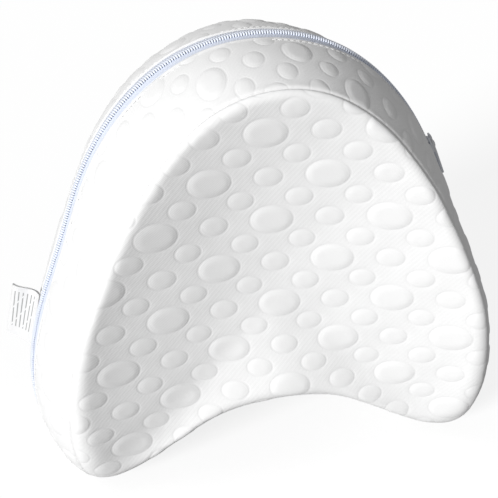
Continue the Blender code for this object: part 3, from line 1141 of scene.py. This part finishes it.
def add_frame(bm: bmesh.types.BMesh, outer: Sequence[tuple[float, float]],
              hole: Sequence[tuple[float, float]], low: float, high: float) -> None:
    """Add a flat solid with one hole, both loops with the same number of corners.

    Args:
        bm: the mesh to add to.
        outer: corners of its edge.
        hole: corners of its hole.
        low: z of its foot.
        high: z of its top.
    """
    levels = []
    for level in (low, high):
        levels.append([[bm.verts.new((x, y, level)) for x, y in loop] for loop in (outer, hole)])
    for k in range(len(outer)):
        for rims in levels:
            bm.faces.new((rims[0][k - 1], rims[0][k], rims[1][k], rims[1][k - 1]))
        for loop in (0, 1):
            under, over = levels[0][loop], levels[1][loop]
            bm.faces.new((under[k - 1], under[k], over[k], over[k - 1]))


def finish_solid(bm: bmesh.types.BMesh, bevel: float) -> None:
    """Merge doubled points, point the faces outwards and round the sharp edges.

    Args:
        bm: the mesh to finish.
        bevel: reach of the rounding.
    """
    bmesh.ops.remove_doubles(bm, verts=bm.verts, dist=0.00001)
    bmesh.ops.recalc_face_normals(bm, faces=bm.faces)
    sharp = [edge for edge in bm.edges if edge.is_manifold and edge.calc_face_angle() > radians(35)]
    bmesh.ops.bevel(bm, geom=sharp, offset=bevel, segments=2, profile=0.6, affect="EDGES",
                    clamp_overlap=True)
    bmesh.ops.recalc_face_normals(bm, faces=bm.faces)


# The care label


@dataclass
class CareLabel:
    """The folded label, sewn in beside the zip on the left.

    Attributes:
        shape: the surface that it is sewn into.
        units: the tree that lays its stitches.
        at: s of its middle.
        across: q of its root.
        height: its height up the band.
        length: how far it stands out.
        layer: thickness of one layer.
        gap: room between the layers.
        turn: how far it leans to the rear.
        curl: how far it bows.
        stitch_pitch: distance between the stitches at its root.
        stitch_size: length, width and height of one of them.
    """

    shape: PillowShape
    units: PathUnits
    at: float = 0.6120
    across: float = -0.0108
    height: float = 0.0300
    length: float = 0.0172
    layer: float = 0.00045
    gap: float = 0.0007
    turn: float = radians(40)
    curl: float = 0.0015
    stitch_pitch: float = 0.0026
    stitch_size: tuple[float, float, float] = (0.0019, 0.0005, 0.0004)

    def axes(self) -> tuple[Points, Points, Points, Points]:
        """Return the root's middle and the directions out along the label, up it and through it.

        Returns:
            The middle and three unit directions.
        """
        ends = np.array((self.at + self.height / 2, self.at, self.at - self.height / 2))
        low, middle, high = self.shape.on_band(ends, np.full(3, self.across), 0.0)
        up = unit(high - low)
        reach = np.array((-cos(self.turn), sin(self.turn), 0.0))
        reach = unit(reach - up * (reach @ up))
        return middle, reach, up, np.cross(reach, up)

    def bow(self, share: Points, rise: Points) -> Points:
        """Return how far the label bows sideways, by the share out and the share up.

        Args:
            share: share of the way out.
            rise: share of the way up.

        Returns:
            The bow in metres.
        """
        low = np.sin(pi * share)
        high = 1.3 * np.sin(1.7 * pi * share)
        return self.curl * (low * (1 - rise) + high * rise) + 0.0006 * share * (rise - 0.5)

    def section(self) -> tuple[Points, Points]:
        """Return the folded section: share out and offset through, round the cloth.

        Returns:
            The two coordinates of each point.
        """
        outer = self.layer + self.gap / 2
        inner = self.gap / 2
        run = 1 - outer / self.length
        shares = np.linspace(0.0, run, 15)
        turns = pi / 2 - pi * np.arange(1, 6) / 6
        parts = []
        for offset, order in ((outer, 1), (-inner, -1)):
            fold = np.stack((run + abs(offset) / self.length * np.cos(turns), offset * np.sin(turns)), axis=-1)
            first = np.stack((shares, np.full(15, offset)), axis=-1)
            last = np.stack((shares[::-1], np.full(15, -offset)), axis=-1)
            parts.append(np.concatenate((first, fold, last)))
        loop = np.concatenate(parts)
        return loop[:, 0], loop[:, 1]

    def build(self) -> bpy.types.Mesh:
        """Build the label as one folded strip of cloth with a thickness.

        Returns:
            The mesh.
        """
        middle, reach, up, side = self.axes()
        share, offset = self.section()
        rise = np.linspace(0.0, 1.0, 19)[:, None]
        bow = self.bow(share[None, :], rise)
        out = (share * self.length - 0.0003)[None, :, None] * reach
        tall = ((rise - 0.5) * self.height)[..., None] * up
        through = (offset[None, :] + bow)[..., None] * side
        rings = middle + out + tall + through
        uv = np.stack(np.broadcast_arrays(share[None, :] * self.length, rise * self.height), axis=-1)
        mesh = loft("care_tape", rings, uv)
        mesh.set_sharp_from_angle(angle=radians(60))
        return mesh

    def stitch_mesh(self, material: bpy.types.Material) -> bpy.types.Mesh:
        """Build the short stitches that hold the label at its root, on both layers.

        Args:
            material: the thread.

        Returns:
            The mesh.
        """
        middle, reach, up, side = self.axes()
        rise = np.linspace(0.04, 0.96, 12)
        share = np.full_like(rise, 0.12)
        rows = []
        for sign in (1, -1):
            through = sign * (self.layer + self.gap / 2) + self.bow(share, rise)
            path = middle + share[:, None] * self.length * reach
            path = path + ((rise - 0.5) * self.height)[:, None] * up + through[:, None] * side
            out = np.repeat(sign * side[None, :], len(rise), axis=0)
            rows.append(self.units.lay("label_row", path, out, thread_unit(), self.stitch_pitch,
                                       self.stitch_size, material))
        return join_meshes("label_stitches", rows)

    def dress(self, finishes: "FinishSet") -> None:
        """Add the label and its stitches to the scene.

        Args:
            finishes: every finish.
        """
        label = add_piece(self.build(), finishes.label)
        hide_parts("care_label")
        stitches = add_piece(self.stitch_mesh(finishes.thread), finishes.thread)


# The sewing


@dataclass
class Sewing:
    """The visible thread: the rows beside the zip and the bar tacks at its ends.

    Attributes:
        shape: the surface that is sewn.
        cover: the cover, for the zip's place.
        units: the tree that lays the stitches.
        row_at: q of the rows beside the zip.
        row_pitch: distance from stitch to stitch.
        row_lift: lift of the rows over the cloth.
        row_size: length, width and height of a stitch in a row.
        tack_rows: rows of thread in one bar tack.
        tack_half: half their length across the zip.
        tack_from_end: distance of the first from the zip's end.
        tack_step: distance from row to row.
        tack_pitch: distance from stitch to stitch.
        tack_lifts: lift of even and odd rows.
        tack_size: length, width and height of a stitch in a tack.
    """

    shape: PillowShape
    cover: Cover
    units: PathUnits
    row_at: float = 0.0122
    row_pitch: float = 0.0030
    row_lift: float = 0.00005
    row_size: tuple[float, float, float] = (0.0023, 0.0005, 0.0004)
    tack_rows: int = 5
    tack_half: float = 0.0078
    tack_from_end: float = 0.0046
    tack_step: float = 0.0006
    tack_pitch: float = 0.0011
    tack_lifts: tuple[float, float] = (0.0004, 0.00055)
    tack_size: tuple[float, float, float] = (0.0013, 0.0006, 0.0005)

    def row(self, name: str, s: Points, q: Points, lift: float, pitch: float,
            size: tuple[float, float, float], material: bpy.types.Material) -> bpy.types.Mesh:
        """Lay one row of stitches on the band along places (s, q).

        Args:
            name: the row's name.
            s: places round the crown.
            q: places across the band.
            lift: height over the band.
            pitch: distance from stitch to stitch.
            size: length, width and height of a stitch.
            material: the thread.

        Returns:
            The mesh.
        """
        path = self.shape.on_band(s, q, lift)
        out = self.shape.band_axes(s, q)[2]
        return self.units.lay(name, path, out, thread_unit(), pitch, size, material)

    def dress(self, finishes: "FinishSet") -> None:
        """Add every row of stitches to the scene.

        Args:
            finishes: every finish.
        """
        thread = finishes.thread
        first, last = self.cover.zip_span
        along = np.linspace(first + 0.001, last - 0.001, 260)
        rows = []
        for side in Side:
            q = np.full_like(along, side.value * self.row_at)
            rows.append(self.row("row", along, q, self.row_lift, self.row_pitch, self.row_size, thread))
        add_piece(join_meshes("zip_stitches", rows), thread)
        tacks = []
        for end, step in ((first, 1), (last, -1)):
            for k in range(self.tack_rows):
                q = np.linspace(-self.tack_half, self.tack_half, 30)
                s = np.full_like(q, end + step * (self.tack_from_end + self.tack_step * k))
                lift = self.tack_lifts[k % 2]
                tacks.append(self.row("tack", s, q, lift, self.tack_pitch, self.tack_size, thread))
        add_piece(join_meshes("bar_tacks", tacks), thread)


# Finishes


class Graph:
    """A short way to place nodes in one tree and to join them."""

    def __init__(self, tree: bpy.types.NodeTree) -> None:
        """Keep the tree that the nodes go into."""
        self.tree = tree

    def add(self, kind: str, inputs: dict | None = None, **settings: object) -> bpy.types.Node:
        """Add a node.

        Args:
            kind: the node's type name.
            inputs: socket name or number, to a value or to another node's output.
            settings: the node's own properties.

        Returns:
            The new node.
        """
        node = self.tree.nodes.new(kind)
        for key, value in settings.items():
            setattr(node, key, value)
        for key, value in (inputs or {}).items():
            socket = node.inputs[key]
            if isinstance(value, bpy.types.NodeSocket):
                self.tree.links.new(value, socket)
            else:
                socket.default_value = value
        return node

    def math(self, operation: str, *values: object) -> bpy.types.NodeSocket:
        """Return the output of a Math node over one to three values.

        Args:
            operation: the node's operation.
            values: numbers or outputs of other nodes.

        Returns:
            The node's output.
        """
        node = self.add("ShaderNodeMath", dict(enumerate(values)), operation=operation)
        return node.outputs[0]

    def ramp(self, value: object, low: float, high: float, start: float = 0.0,
             end: float = 1.0) -> bpy.types.NodeSocket:
        """Return a value mapped smoothly from low..high to start..end.

        Args:
            value: the output to map.
            low: value that becomes start.
            high: value that becomes end.
            start: first result.
            end: last result.

        Returns:
            The node's output.
        """
        node = self.add("ShaderNodeMapRange", {"Value": value, "From Min": low, "From Max": high,
                                               "To Min": start, "To Max": end},
                        interpolation_type="SMOOTHSTEP", clamp=True)
        return node.outputs["Result"]


def new_group(name: str, inputs: Sequence[tuple[str, str, object]],
              outputs: Sequence[tuple[str, str]]) -> tuple[Graph, bpy.types.Node]:
    """Start a shader node group with named sockets.

    Args:
        name: the group's name.
        inputs: name, kind and default value of each input.
        outputs: name and kind of each output.

    Returns:
        The group's graph and its input node.
    """
    tree = bpy.data.node_groups.new(name, "ShaderNodeTree")
    for title, kind, value in inputs:
        socket = tree.interface.new_socket(title, in_out="INPUT", socket_type="NodeSocket" + kind)
        if value is not None:
            socket.default_value = value
    for title, kind in outputs:
        tree.interface.new_socket(title, in_out="OUTPUT", socket_type="NodeSocket" + kind)
    graph = Graph(tree)
    return graph, graph.add("NodeGroupInput")


def weave_group() -> bpy.types.NodeTree:
    """Build the grain of threads that cross at right angles, in cloth places.

    Returns:
        The node group.
    """
    graph, given = new_group(
        "thread_grain",
        (("Cloth", "Vector", None), ("Pitch Along", "Float", 1.0), ("Pitch Across", "Float", 1.0),
         ("Turn", "Float", 0.0)),
        (("Height", "Float"),))
    turned = graph.add("ShaderNodeVectorRotate",
                       {"Vector": given.outputs["Cloth"], "Angle": given.outputs["Turn"]},
                       rotation_type="Z_AXIS")
    parts = graph.add("ShaderNodeSeparateXYZ", {0: turned.outputs[0]})
    waves = []
    for axis, pitch in (("X", "Pitch Along"), ("Y", "Pitch Across")):
        turns = graph.math("DIVIDE", parts.outputs[axis], given.outputs[pitch])
        waves.append(graph.math("SINE", graph.math("MULTIPLY", turns, 2 * pi * 1000)))
    height = graph.math("MULTIPLY", waves[0], waves[1])
    graph.add("NodeGroupOutput", {"Height": height})
    return graph.tree


def tone_group() -> bpy.types.NodeTree:
    """Build the slow unevenness of a dyed or bleached surface, over object places.

    Returns:
        The node group.
    """
    graph, given = new_group(
        "uneven_tone", (("Size", "Float", 30.0), ("Amount", "Float", 0.03)), (("Tone", "Float"),))
    place = graph.add("ShaderNodeTexCoord")
    noise = graph.add("ShaderNodeTexNoise", {"Vector": place.outputs["Object"],
                                             "Scale": given.outputs["Size"], "Detail": 3.0})
    swing = graph.math("SUBTRACT", noise.outputs[0], 0.5)
    tone = graph.math("MULTIPLY_ADD", swing, given.outputs["Amount"], 1.0)
    graph.add("NodeGroupOutput", {"Tone": tone})
    return graph.tree


def place_group(graph: Graph, tree: bpy.types.NodeTree, inputs: dict) -> bpy.types.Node:
    """Place a shader node group in a material with its own values.

    Args:
        graph: the material's graph.
        tree: the group.
        inputs: socket name to value or output.

    Returns:
        The placed node.
    """
    node = graph.tree.nodes.new("ShaderNodeGroup")
    node.node_tree = tree
    for key, value in inputs.items():
        if isinstance(value, bpy.types.NodeSocket):
            graph.tree.links.new(value, node.inputs[key])
        else:
            node.inputs[key].default_value = value
    return node


def new_material(name: str) -> tuple[bpy.types.Material, Graph, bpy.types.Node]:
    """Return a new material, its graph and its Principled shader.

    Args:
        name: the material's name.

    Returns:
        The three of them.
    """
    material = bpy.data.materials.new(name)
    material.use_nodes = True
    return material, Graph(material.node_tree), material.node_tree.nodes["Principled BSDF"]


def tinted(graph: Graph, colour: tuple[float, float, float],
           tone: bpy.types.NodeSocket) -> bpy.types.NodeSocket:
    """Return a colour multiplied by a tone that changes over the surface.

    Args:
        graph: the material's graph.
        colour: red, green and blue.
        tone: the output to multiply by.

    Returns:
        The tinted colour.
    """
    node = graph.add("ShaderNodeVectorMath", {0: colour, "Scale": tone}, operation="SCALE")
    return node.outputs[0]


@dataclass(frozen=True)
class KnitFinish:
    """The white jacquard knit: fine slanting ribs between smooth puffed ovals.

    Attributes:
        colour: of the knit.
        rib_pitch: distance between ribs, in millimetres.
        rib_turn: slant of the ribs.
        rib_depth: their depth in millimetres.
        ring_depth: depth of the drawn-in ring round an oval, in millimetres.
        ring_painted_shade: painted shade in the drawn-in ring round an oval, as a share of the colour.
        rib_painted_shade: depth of painted shade in the rib valleys, and of painted light on their crests.
        seam_painted_shade: how much darker the seams and the zip channel's walls are painted, standing in for
            their shade.
        grain_depth: depth of the loops of yarn, in millimetres.
        grain_painted_shade: strength of painted light on the loops' tops and painted shade between them.
    """

    colour: tuple[float, float, float] = (0.885, 0.885, 0.885)
    rib_pitch: float = 2.0
    rib_turn: float = radians(48)
    rib_depth: float = 0.013
    ring_depth: float = 0.08
    ring_painted_shade: float = 0.022
    rib_painted_shade: float = 0.008
    seam_painted_shade: float = 0.12
    grain_depth: float = 0.022
    grain_painted_shade: float = 0.008

    def build(self, weave: bpy.types.NodeTree, tone: bpy.types.NodeTree) -> bpy.types.Material:
        """Build the material from the shared weave and tone groups.

        Args:
            weave: the thread grain group.
            tone: the unevenness group.

        Returns:
            The material.
        """
        material, graph, shader = new_material("white_jacquard_knit")
        cloth = graph.add("ShaderNodeUVMap", uv_map="cloth").outputs["UV"]
        ring = graph.add("ShaderNodeAttribute", attribute_name="ring_mm").outputs["Fac"]
        # The seam attribute is painted shade for the seam grooves and the zip channel's walls.
        seam = graph.add("ShaderNodeAttribute", attribute_name="seam").outputs["Fac"]
        parts = graph.add("ShaderNodeSeparateXYZ", {0: graph.add(
            "ShaderNodeVectorRotate", {"Vector": cloth, "Angle": -self.rib_turn},
            rotation_type="Z_AXIS").outputs[0]})
        turns = graph.math("MULTIPLY", parts.outputs["Y"], 2 * pi * 1000 / self.rib_pitch)
        rib = graph.math("SINE", turns)
        ground = graph.ramp(ring, 0.35, 1.3)
        near = graph.ramp(graph.math("ABSOLUTE", ring), 0.15, 0.95, 1.0, 0.0)
        ribs = graph.math("MULTIPLY", rib, ground)
        grain = place_group(graph, weave, {"Cloth": cloth, "Pitch Along": 1.1, "Pitch Across": 0.9,
                                           "Turn": radians(7)}).outputs["Height"]
        height = graph.math("MULTIPLY", ribs, self.rib_depth)
        height = graph.math("MULTIPLY_ADD", grain, self.grain_depth, height)
        height = graph.math("MULTIPLY_ADD", near, -self.ring_depth, height)
        bump = graph.add("ShaderNodeBump", {"Strength": 1.0, "Distance": MM, "Height": height})
        slow = place_group(graph, tone, {"Size": 26.0, "Amount": 0.05}).outputs["Tone"]
        # Painted shade: the colour darkens along the drawn-in rings round the ovals, where shade falls in the
        # groove.
        shade = graph.math("MULTIPLY_ADD", near, -self.ring_painted_shade, slow)
        # Painted shade in the rib valleys and painted light on the rib crests.
        shade = graph.math("MULTIPLY_ADD", ribs, self.rib_painted_shade / 2, shade)
        # Painted light on the loops' tops and painted shade between them, following the grain's height.
        shade = graph.math("MULTIPLY_ADD", grain, self.grain_painted_shade, shade)
        # Painted shade in the seams and at the zip channel's walls.
        shade = graph.math("MULTIPLY_ADD", seam, -self.seam_painted_shade, shade)
        graph.tree.links.new(tinted(graph, self.colour, shade), shader.inputs["Base Color"])
        graph.tree.links.new(bump.outputs[0], shader.inputs["Normal"])
        shader.inputs["Roughness"].default_value = 0.9
        shader.inputs["Sheen Weight"].default_value = 0.15
        shader.inputs["Sheen Roughness"].default_value = 0.5
        shader.inputs["Specular IOR Level"].default_value = 0.25
        return material


@dataclass(frozen=True)
class TapeFinish:
    """The bluish-white woven tape of the zip, in a fine herringbone."""

    colour: tuple[float, float, float] = (0.76, 0.81, 0.93)

    def build(self, weave: bpy.types.NodeTree, tone: bpy.types.NodeTree) -> bpy.types.Material:
        """Build the material from the shared weave and tone groups.

        Args:
            weave: the thread grain group.
            tone: the unevenness group.

        Returns:
            The material.
        """
        material, graph, shader = new_material("bluish_white_tape")
        cloth = graph.add("ShaderNodeUVMap", uv_map="cloth").outputs["UV"]
        grain = place_group(graph, weave, {"Cloth": cloth, "Pitch Along": 0.9, "Pitch Across": 1.2,
                                           "Turn": radians(45)}).outputs["Height"]
        bump = graph.add("ShaderNodeBump", {"Strength": 1.0, "Distance": MM,
                                            "Height": graph.math("MULTIPLY", grain, 0.05)})
        slow = place_group(graph, tone, {"Size": 60.0, "Amount": 0.06}).outputs["Tone"]
        # Painted light and shade: the colour follows the weave's height, lighter on the threads' tops and
        # darker between them.
        shade = graph.math("MULTIPLY_ADD", grain, 0.04, slow)
        graph.tree.links.new(tinted(graph, self.colour, shade), shader.inputs["Base Color"])
        graph.tree.links.new(bump.outputs[0], shader.inputs["Normal"])
        shader.inputs["Roughness"].default_value = 0.8
        return material


@dataclass(frozen=True)
class PlainFinish:
    """A plain finish with a slow unevenness: thread, nylon or enamel.

    Attributes:
        name: of the material.
        colour: its colour.
        roughness: of its surface.
        coat: weight of a clear coat over it.
        size: of the unevenness.
        grain: depth of a fine surface grain in millimetres.
    """

    name: str
    colour: tuple[float, float, float]
    roughness: float
    coat: float = 0.0
    size: float = 80.0
    grain: float = 0.0

    def build(self, tone: bpy.types.NodeTree) -> bpy.types.Material:
        """Build the material from the shared tone group.

        Args:
            tone: the unevenness group.

        Returns:
            The material.
        """
        material, graph, shader = new_material(self.name)
        slow = place_group(graph, tone, {"Size": self.size, "Amount": 0.08}).outputs["Tone"]
        graph.tree.links.new(tinted(graph, self.colour, slow), shader.inputs["Base Color"])
        if self.grain:
            place = graph.add("ShaderNodeTexCoord").outputs["Object"]
            noise = graph.add("ShaderNodeTexNoise", {"Vector": place, "Scale": 2600.0, "Detail": 2.0})
            bump = graph.add("ShaderNodeBump", {"Strength": 1.0, "Distance": MM * self.grain,
                                                "Height": noise.outputs[0]})
            graph.tree.links.new(bump.outputs[0], shader.inputs["Normal"])
        shader.inputs["Roughness"].default_value = self.roughness
        shader.inputs["Coat Weight"].default_value = self.coat
        return material


@dataclass(frozen=True)
class LabelFinish:
    """The smooth white woven label with plain grey lines and no words.

    Attributes:
        colour: of the tape.
        line: how much darker a line is.
        line_pitch: distance between lines, in millimetres.
    """

    colour: tuple[float, float, float] = (0.78, 0.78, 0.78)
    line: float = 0.60
    line_pitch: float = 2.1

    def build(self, weave: bpy.types.NodeTree, tone: bpy.types.NodeTree) -> bpy.types.Material:
        """Build the material from the shared weave and tone groups.

        Args:
            weave: the thread grain group.
            tone: the unevenness group.

        Returns:
            The material.
        """
        material, graph, shader = new_material("white_label_tape")
        cloth = graph.add("ShaderNodeUVMap", uv_map="cloth").outputs["UV"]
        grain = place_group(graph, weave, {"Cloth": cloth, "Pitch Along": 0.5, "Pitch Across": 0.6,
                                           "Turn": 0.0}).outputs["Height"]
        parts = graph.add("ShaderNodeSeparateXYZ", {0: cloth})
        out = graph.math("MULTIPLY", parts.outputs["X"], 1000.0)
        up = graph.math("MULTIPLY", parts.outputs["Y"], 1000.0)
        wave = graph.math("PINGPONG", graph.math("ADD", out, 0.4), self.line_pitch / 2)
        lines = graph.ramp(wave, 0.22, 0.34, 1.0, 0.0)
        gaps = graph.math("PINGPONG", graph.math("MULTIPLY_ADD", out, 1.7, up), 5.2)
        lines = graph.math("MULTIPLY", lines, graph.ramp(gaps, 0.5, 0.7))
        room = graph.math("MULTIPLY", graph.ramp(up, 5.4, 5.7), graph.ramp(up, 26.8, 27.1, 1.0, 0.0))
        room = graph.math("MULTIPLY", room, graph.ramp(out, 3.0, 3.2))
        room = graph.math("MULTIPLY", room, graph.ramp(out, 15.6, 15.8, 1.0, 0.0))
        lines = graph.math("MULTIPLY", lines, room)
        slow = place_group(graph, tone, {"Size": 90.0, "Amount": 0.05}).outputs["Tone"]
        shade = graph.math("MULTIPLY_ADD", lines, -self.line, slow)
        # Painted light and shade: the colour follows the weave's height, lighter on the threads' tops and
        # darker between them.
        shade = graph.math("MULTIPLY_ADD", grain, 0.015, shade)
        bump = graph.add("ShaderNodeBump", {"Strength": 1.0, "Distance": MM,
                                            "Height": graph.math("MULTIPLY", grain, 0.03)})
        graph.tree.links.new(tinted(graph, self.colour, shade), shader.inputs["Base Color"])
        graph.tree.links.new(bump.outputs[0], shader.inputs["Normal"])
        shader.inputs["Roughness"].default_value = 0.5
        shader.inputs["Sheen Weight"].default_value = 0.1
        return material


class FinishSet:
    """Every finish of the pillow, built once."""

    def __init__(self) -> None:
        """Build the shared groups and the materials from them."""
        weave, tone = weave_group(), tone_group()
        self.knit = KnitFinish().build(weave, tone)
        self.tape = TapeFinish().build(weave, tone)
        self.label = LabelFinish().build(weave, tone)
        self.thread = PlainFinish("white_thread", (0.86, 0.86, 0.86), 0.7, grain=0.10).build(tone)
        self.nylon = PlainFinish("bluish_white_nylon", (0.80, 0.84, 0.93), 0.42).build(tone)
        self.enamel = PlainFinish("white_enamel", (0.80, 0.81, 0.83), 0.30, coat=0.6).build(tone)


# The studio


@dataclass
class Studio:
    """The pale floor, the light and the camera at the photograph's angle.

    Attributes:
        azimuth: how far the camera stands to the left.
        elevation: its height angle.
        roll: its tilt about the view.
        distance: from the target.
        target: point that the camera looks at.
        focal: focal length in pixels of the picture.
        middle: pixel that the view is centred on.
        picture: pixels along the picture's side.
        sun_from: direction towards the key light.
        sun: brightness of white cloth square to it.
        fill: brightness of the surroundings as a light.
        sun_spread: width of the key light, which softens its shadows.
        backdrop: brightness of the surroundings to the eye.
        floor_glow: how much brighter the floor is to the eye.
        floor_spill: brightness of the floor as a light.
        floor_reach: half the floor's side.
        floor_level: height of the floor.
    """

    azimuth: float = radians(12.25)
    elevation: float = radians(27.75)
    roll: float = radians(1.33)
    distance: float = 0.5766
    target: tuple[float, float, float] = (0.0063, 0.0, 0.1086)
    focal: float = 1087.5
    middle: tuple[float, float] = (259.0, 242.7)
    picture: float = 498.0
    sun_from: tuple[float, float, float] = (-0.72, -0.62, 0.32)
    sun: float = 1.05
    fill: float = 0.31
    sun_spread: float = radians(16)
    backdrop: float = 0.95
    floor_glow: float = 0.74
    floor_spill: float = 0.06
    floor_reach: float = 6.0
    floor_level: float = -0.0002

    def make_camera(self) -> None:
        """Make the camera and set it as the scene's own."""
        a, e = self.azimuth, self.elevation
        forward = Vector((sin(a) * cos(e), cos(a) * cos(e), -sin(e)))
        right = Vector((cos(a), -sin(a), 0.0))
        up = Vector((sin(a) * sin(e), cos(a) * sin(e), cos(e)))
        side = right * cos(self.roll) - up * sin(self.roll)
        top = right * sin(self.roll) + up * cos(self.roll)
        data = bpy.data.cameras.new("camera")
        camera = bpy.data.objects.new("camera", data)
        bpy.context.scene.collection.objects.link(camera)
        turn = Matrix((side, top, -forward)).transposed().to_4x4()
        camera.matrix_world = Matrix.Translation(Vector(self.target) - forward * self.distance) @ turn
        data.sensor_width = 36.0
        data.lens = self.focal / self.picture * data.sensor_width
        data.shift_x = (self.picture / 2 - self.middle[0]) / self.picture
        data.shift_y = (self.middle[1] - self.picture / 2) / self.picture
        data.clip_start, data.clip_end = 0.02, 60.0
        bpy.context.scene.camera = camera

    def make_light(self) -> None:
        """Make the key light, the surroundings and the way colours are shown."""
        sun = bpy.data.lights.new("key", "SUN")
        sun.energy = self.sun * pi
        sun.angle = self.sun_spread
        lamp = bpy.data.objects.new("key", sun)
        lamp.rotation_euler = Vector(self.sun_from).to_track_quat("Z", "Y").to_euler()
        bpy.context.scene.collection.objects.link(lamp)
        world = bpy.data.worlds.new("studio")
        world.use_nodes = True
        graph = Graph(world.node_tree)
        seen = graph.add("ShaderNodeLightPath").outputs["Is Camera Ray"]
        background = world.node_tree.nodes["Background"]
        background.inputs["Color"].default_value = (1.0, 1.0, 1.0, 1.0)
        strength = graph.math("MULTIPLY_ADD", seen, self.backdrop - self.fill, self.fill)
        world.node_tree.links.new(strength, background.inputs["Strength"])
        bpy.context.scene.world = world
        bpy.context.scene.view_settings.view_transform = "Standard"

    def make_floor(self) -> None:
        """Make the pale floor, bright to the eye and calm as a reflector."""
        reach = self.floor_reach
        corners = np.array(((-reach, -reach), (reach, -reach), (reach, reach), (-reach, reach)))
        points = np.concatenate((corners, np.full((4, 1), self.floor_level)), axis=1)
        mesh = new_mesh("floor", points, [(0, 1, 2, 3)])
        material, graph, shader = new_material("pale_floor")
        shader.inputs["Base Color"].default_value = (0.30, 0.30, 0.30, 1.0)
        shader.inputs["Roughness"].default_value = 1.0
        shader.inputs["Specular IOR Level"].default_value = 0.0
        shader.inputs["Emission Color"].default_value = (1.0, 1.0, 1.0, 1.0)
        seen = graph.add("ShaderNodeLightPath").outputs["Is Camera Ray"]
        glow = graph.math("MULTIPLY_ADD", seen, self.floor_glow, self.floor_spill)
        graph.tree.links.new(glow, shader.inputs["Emission Strength"])
        mesh.materials.append(material)
        floor = bpy.data.objects.new("floor", mesh)
        bpy.context.scene.collection.objects.link(floor)

    def build(self) -> None:
        """Make the floor, the light and the camera."""
        self.make_floor()
        self.make_light()
        self.make_camera()


def main() -> None:
    """Build the pillow piece by piece and the studio around it."""
    logging.basicConfig(level=logging.INFO, format="%(name)s: %(message)s")
    finishes = FinishSet()
    shape = PillowShape()
    units = PathUnits()
    cover = Cover(shape)
    cover.dress(finishes.knit)
    Zip(shape, units).dress(finishes)
    Sewing(shape, cover, units).dress(finishes)
    CareLabel(shape, units).dress(finishes)
    Studio().build()


if __name__ == "__main__":
    main()
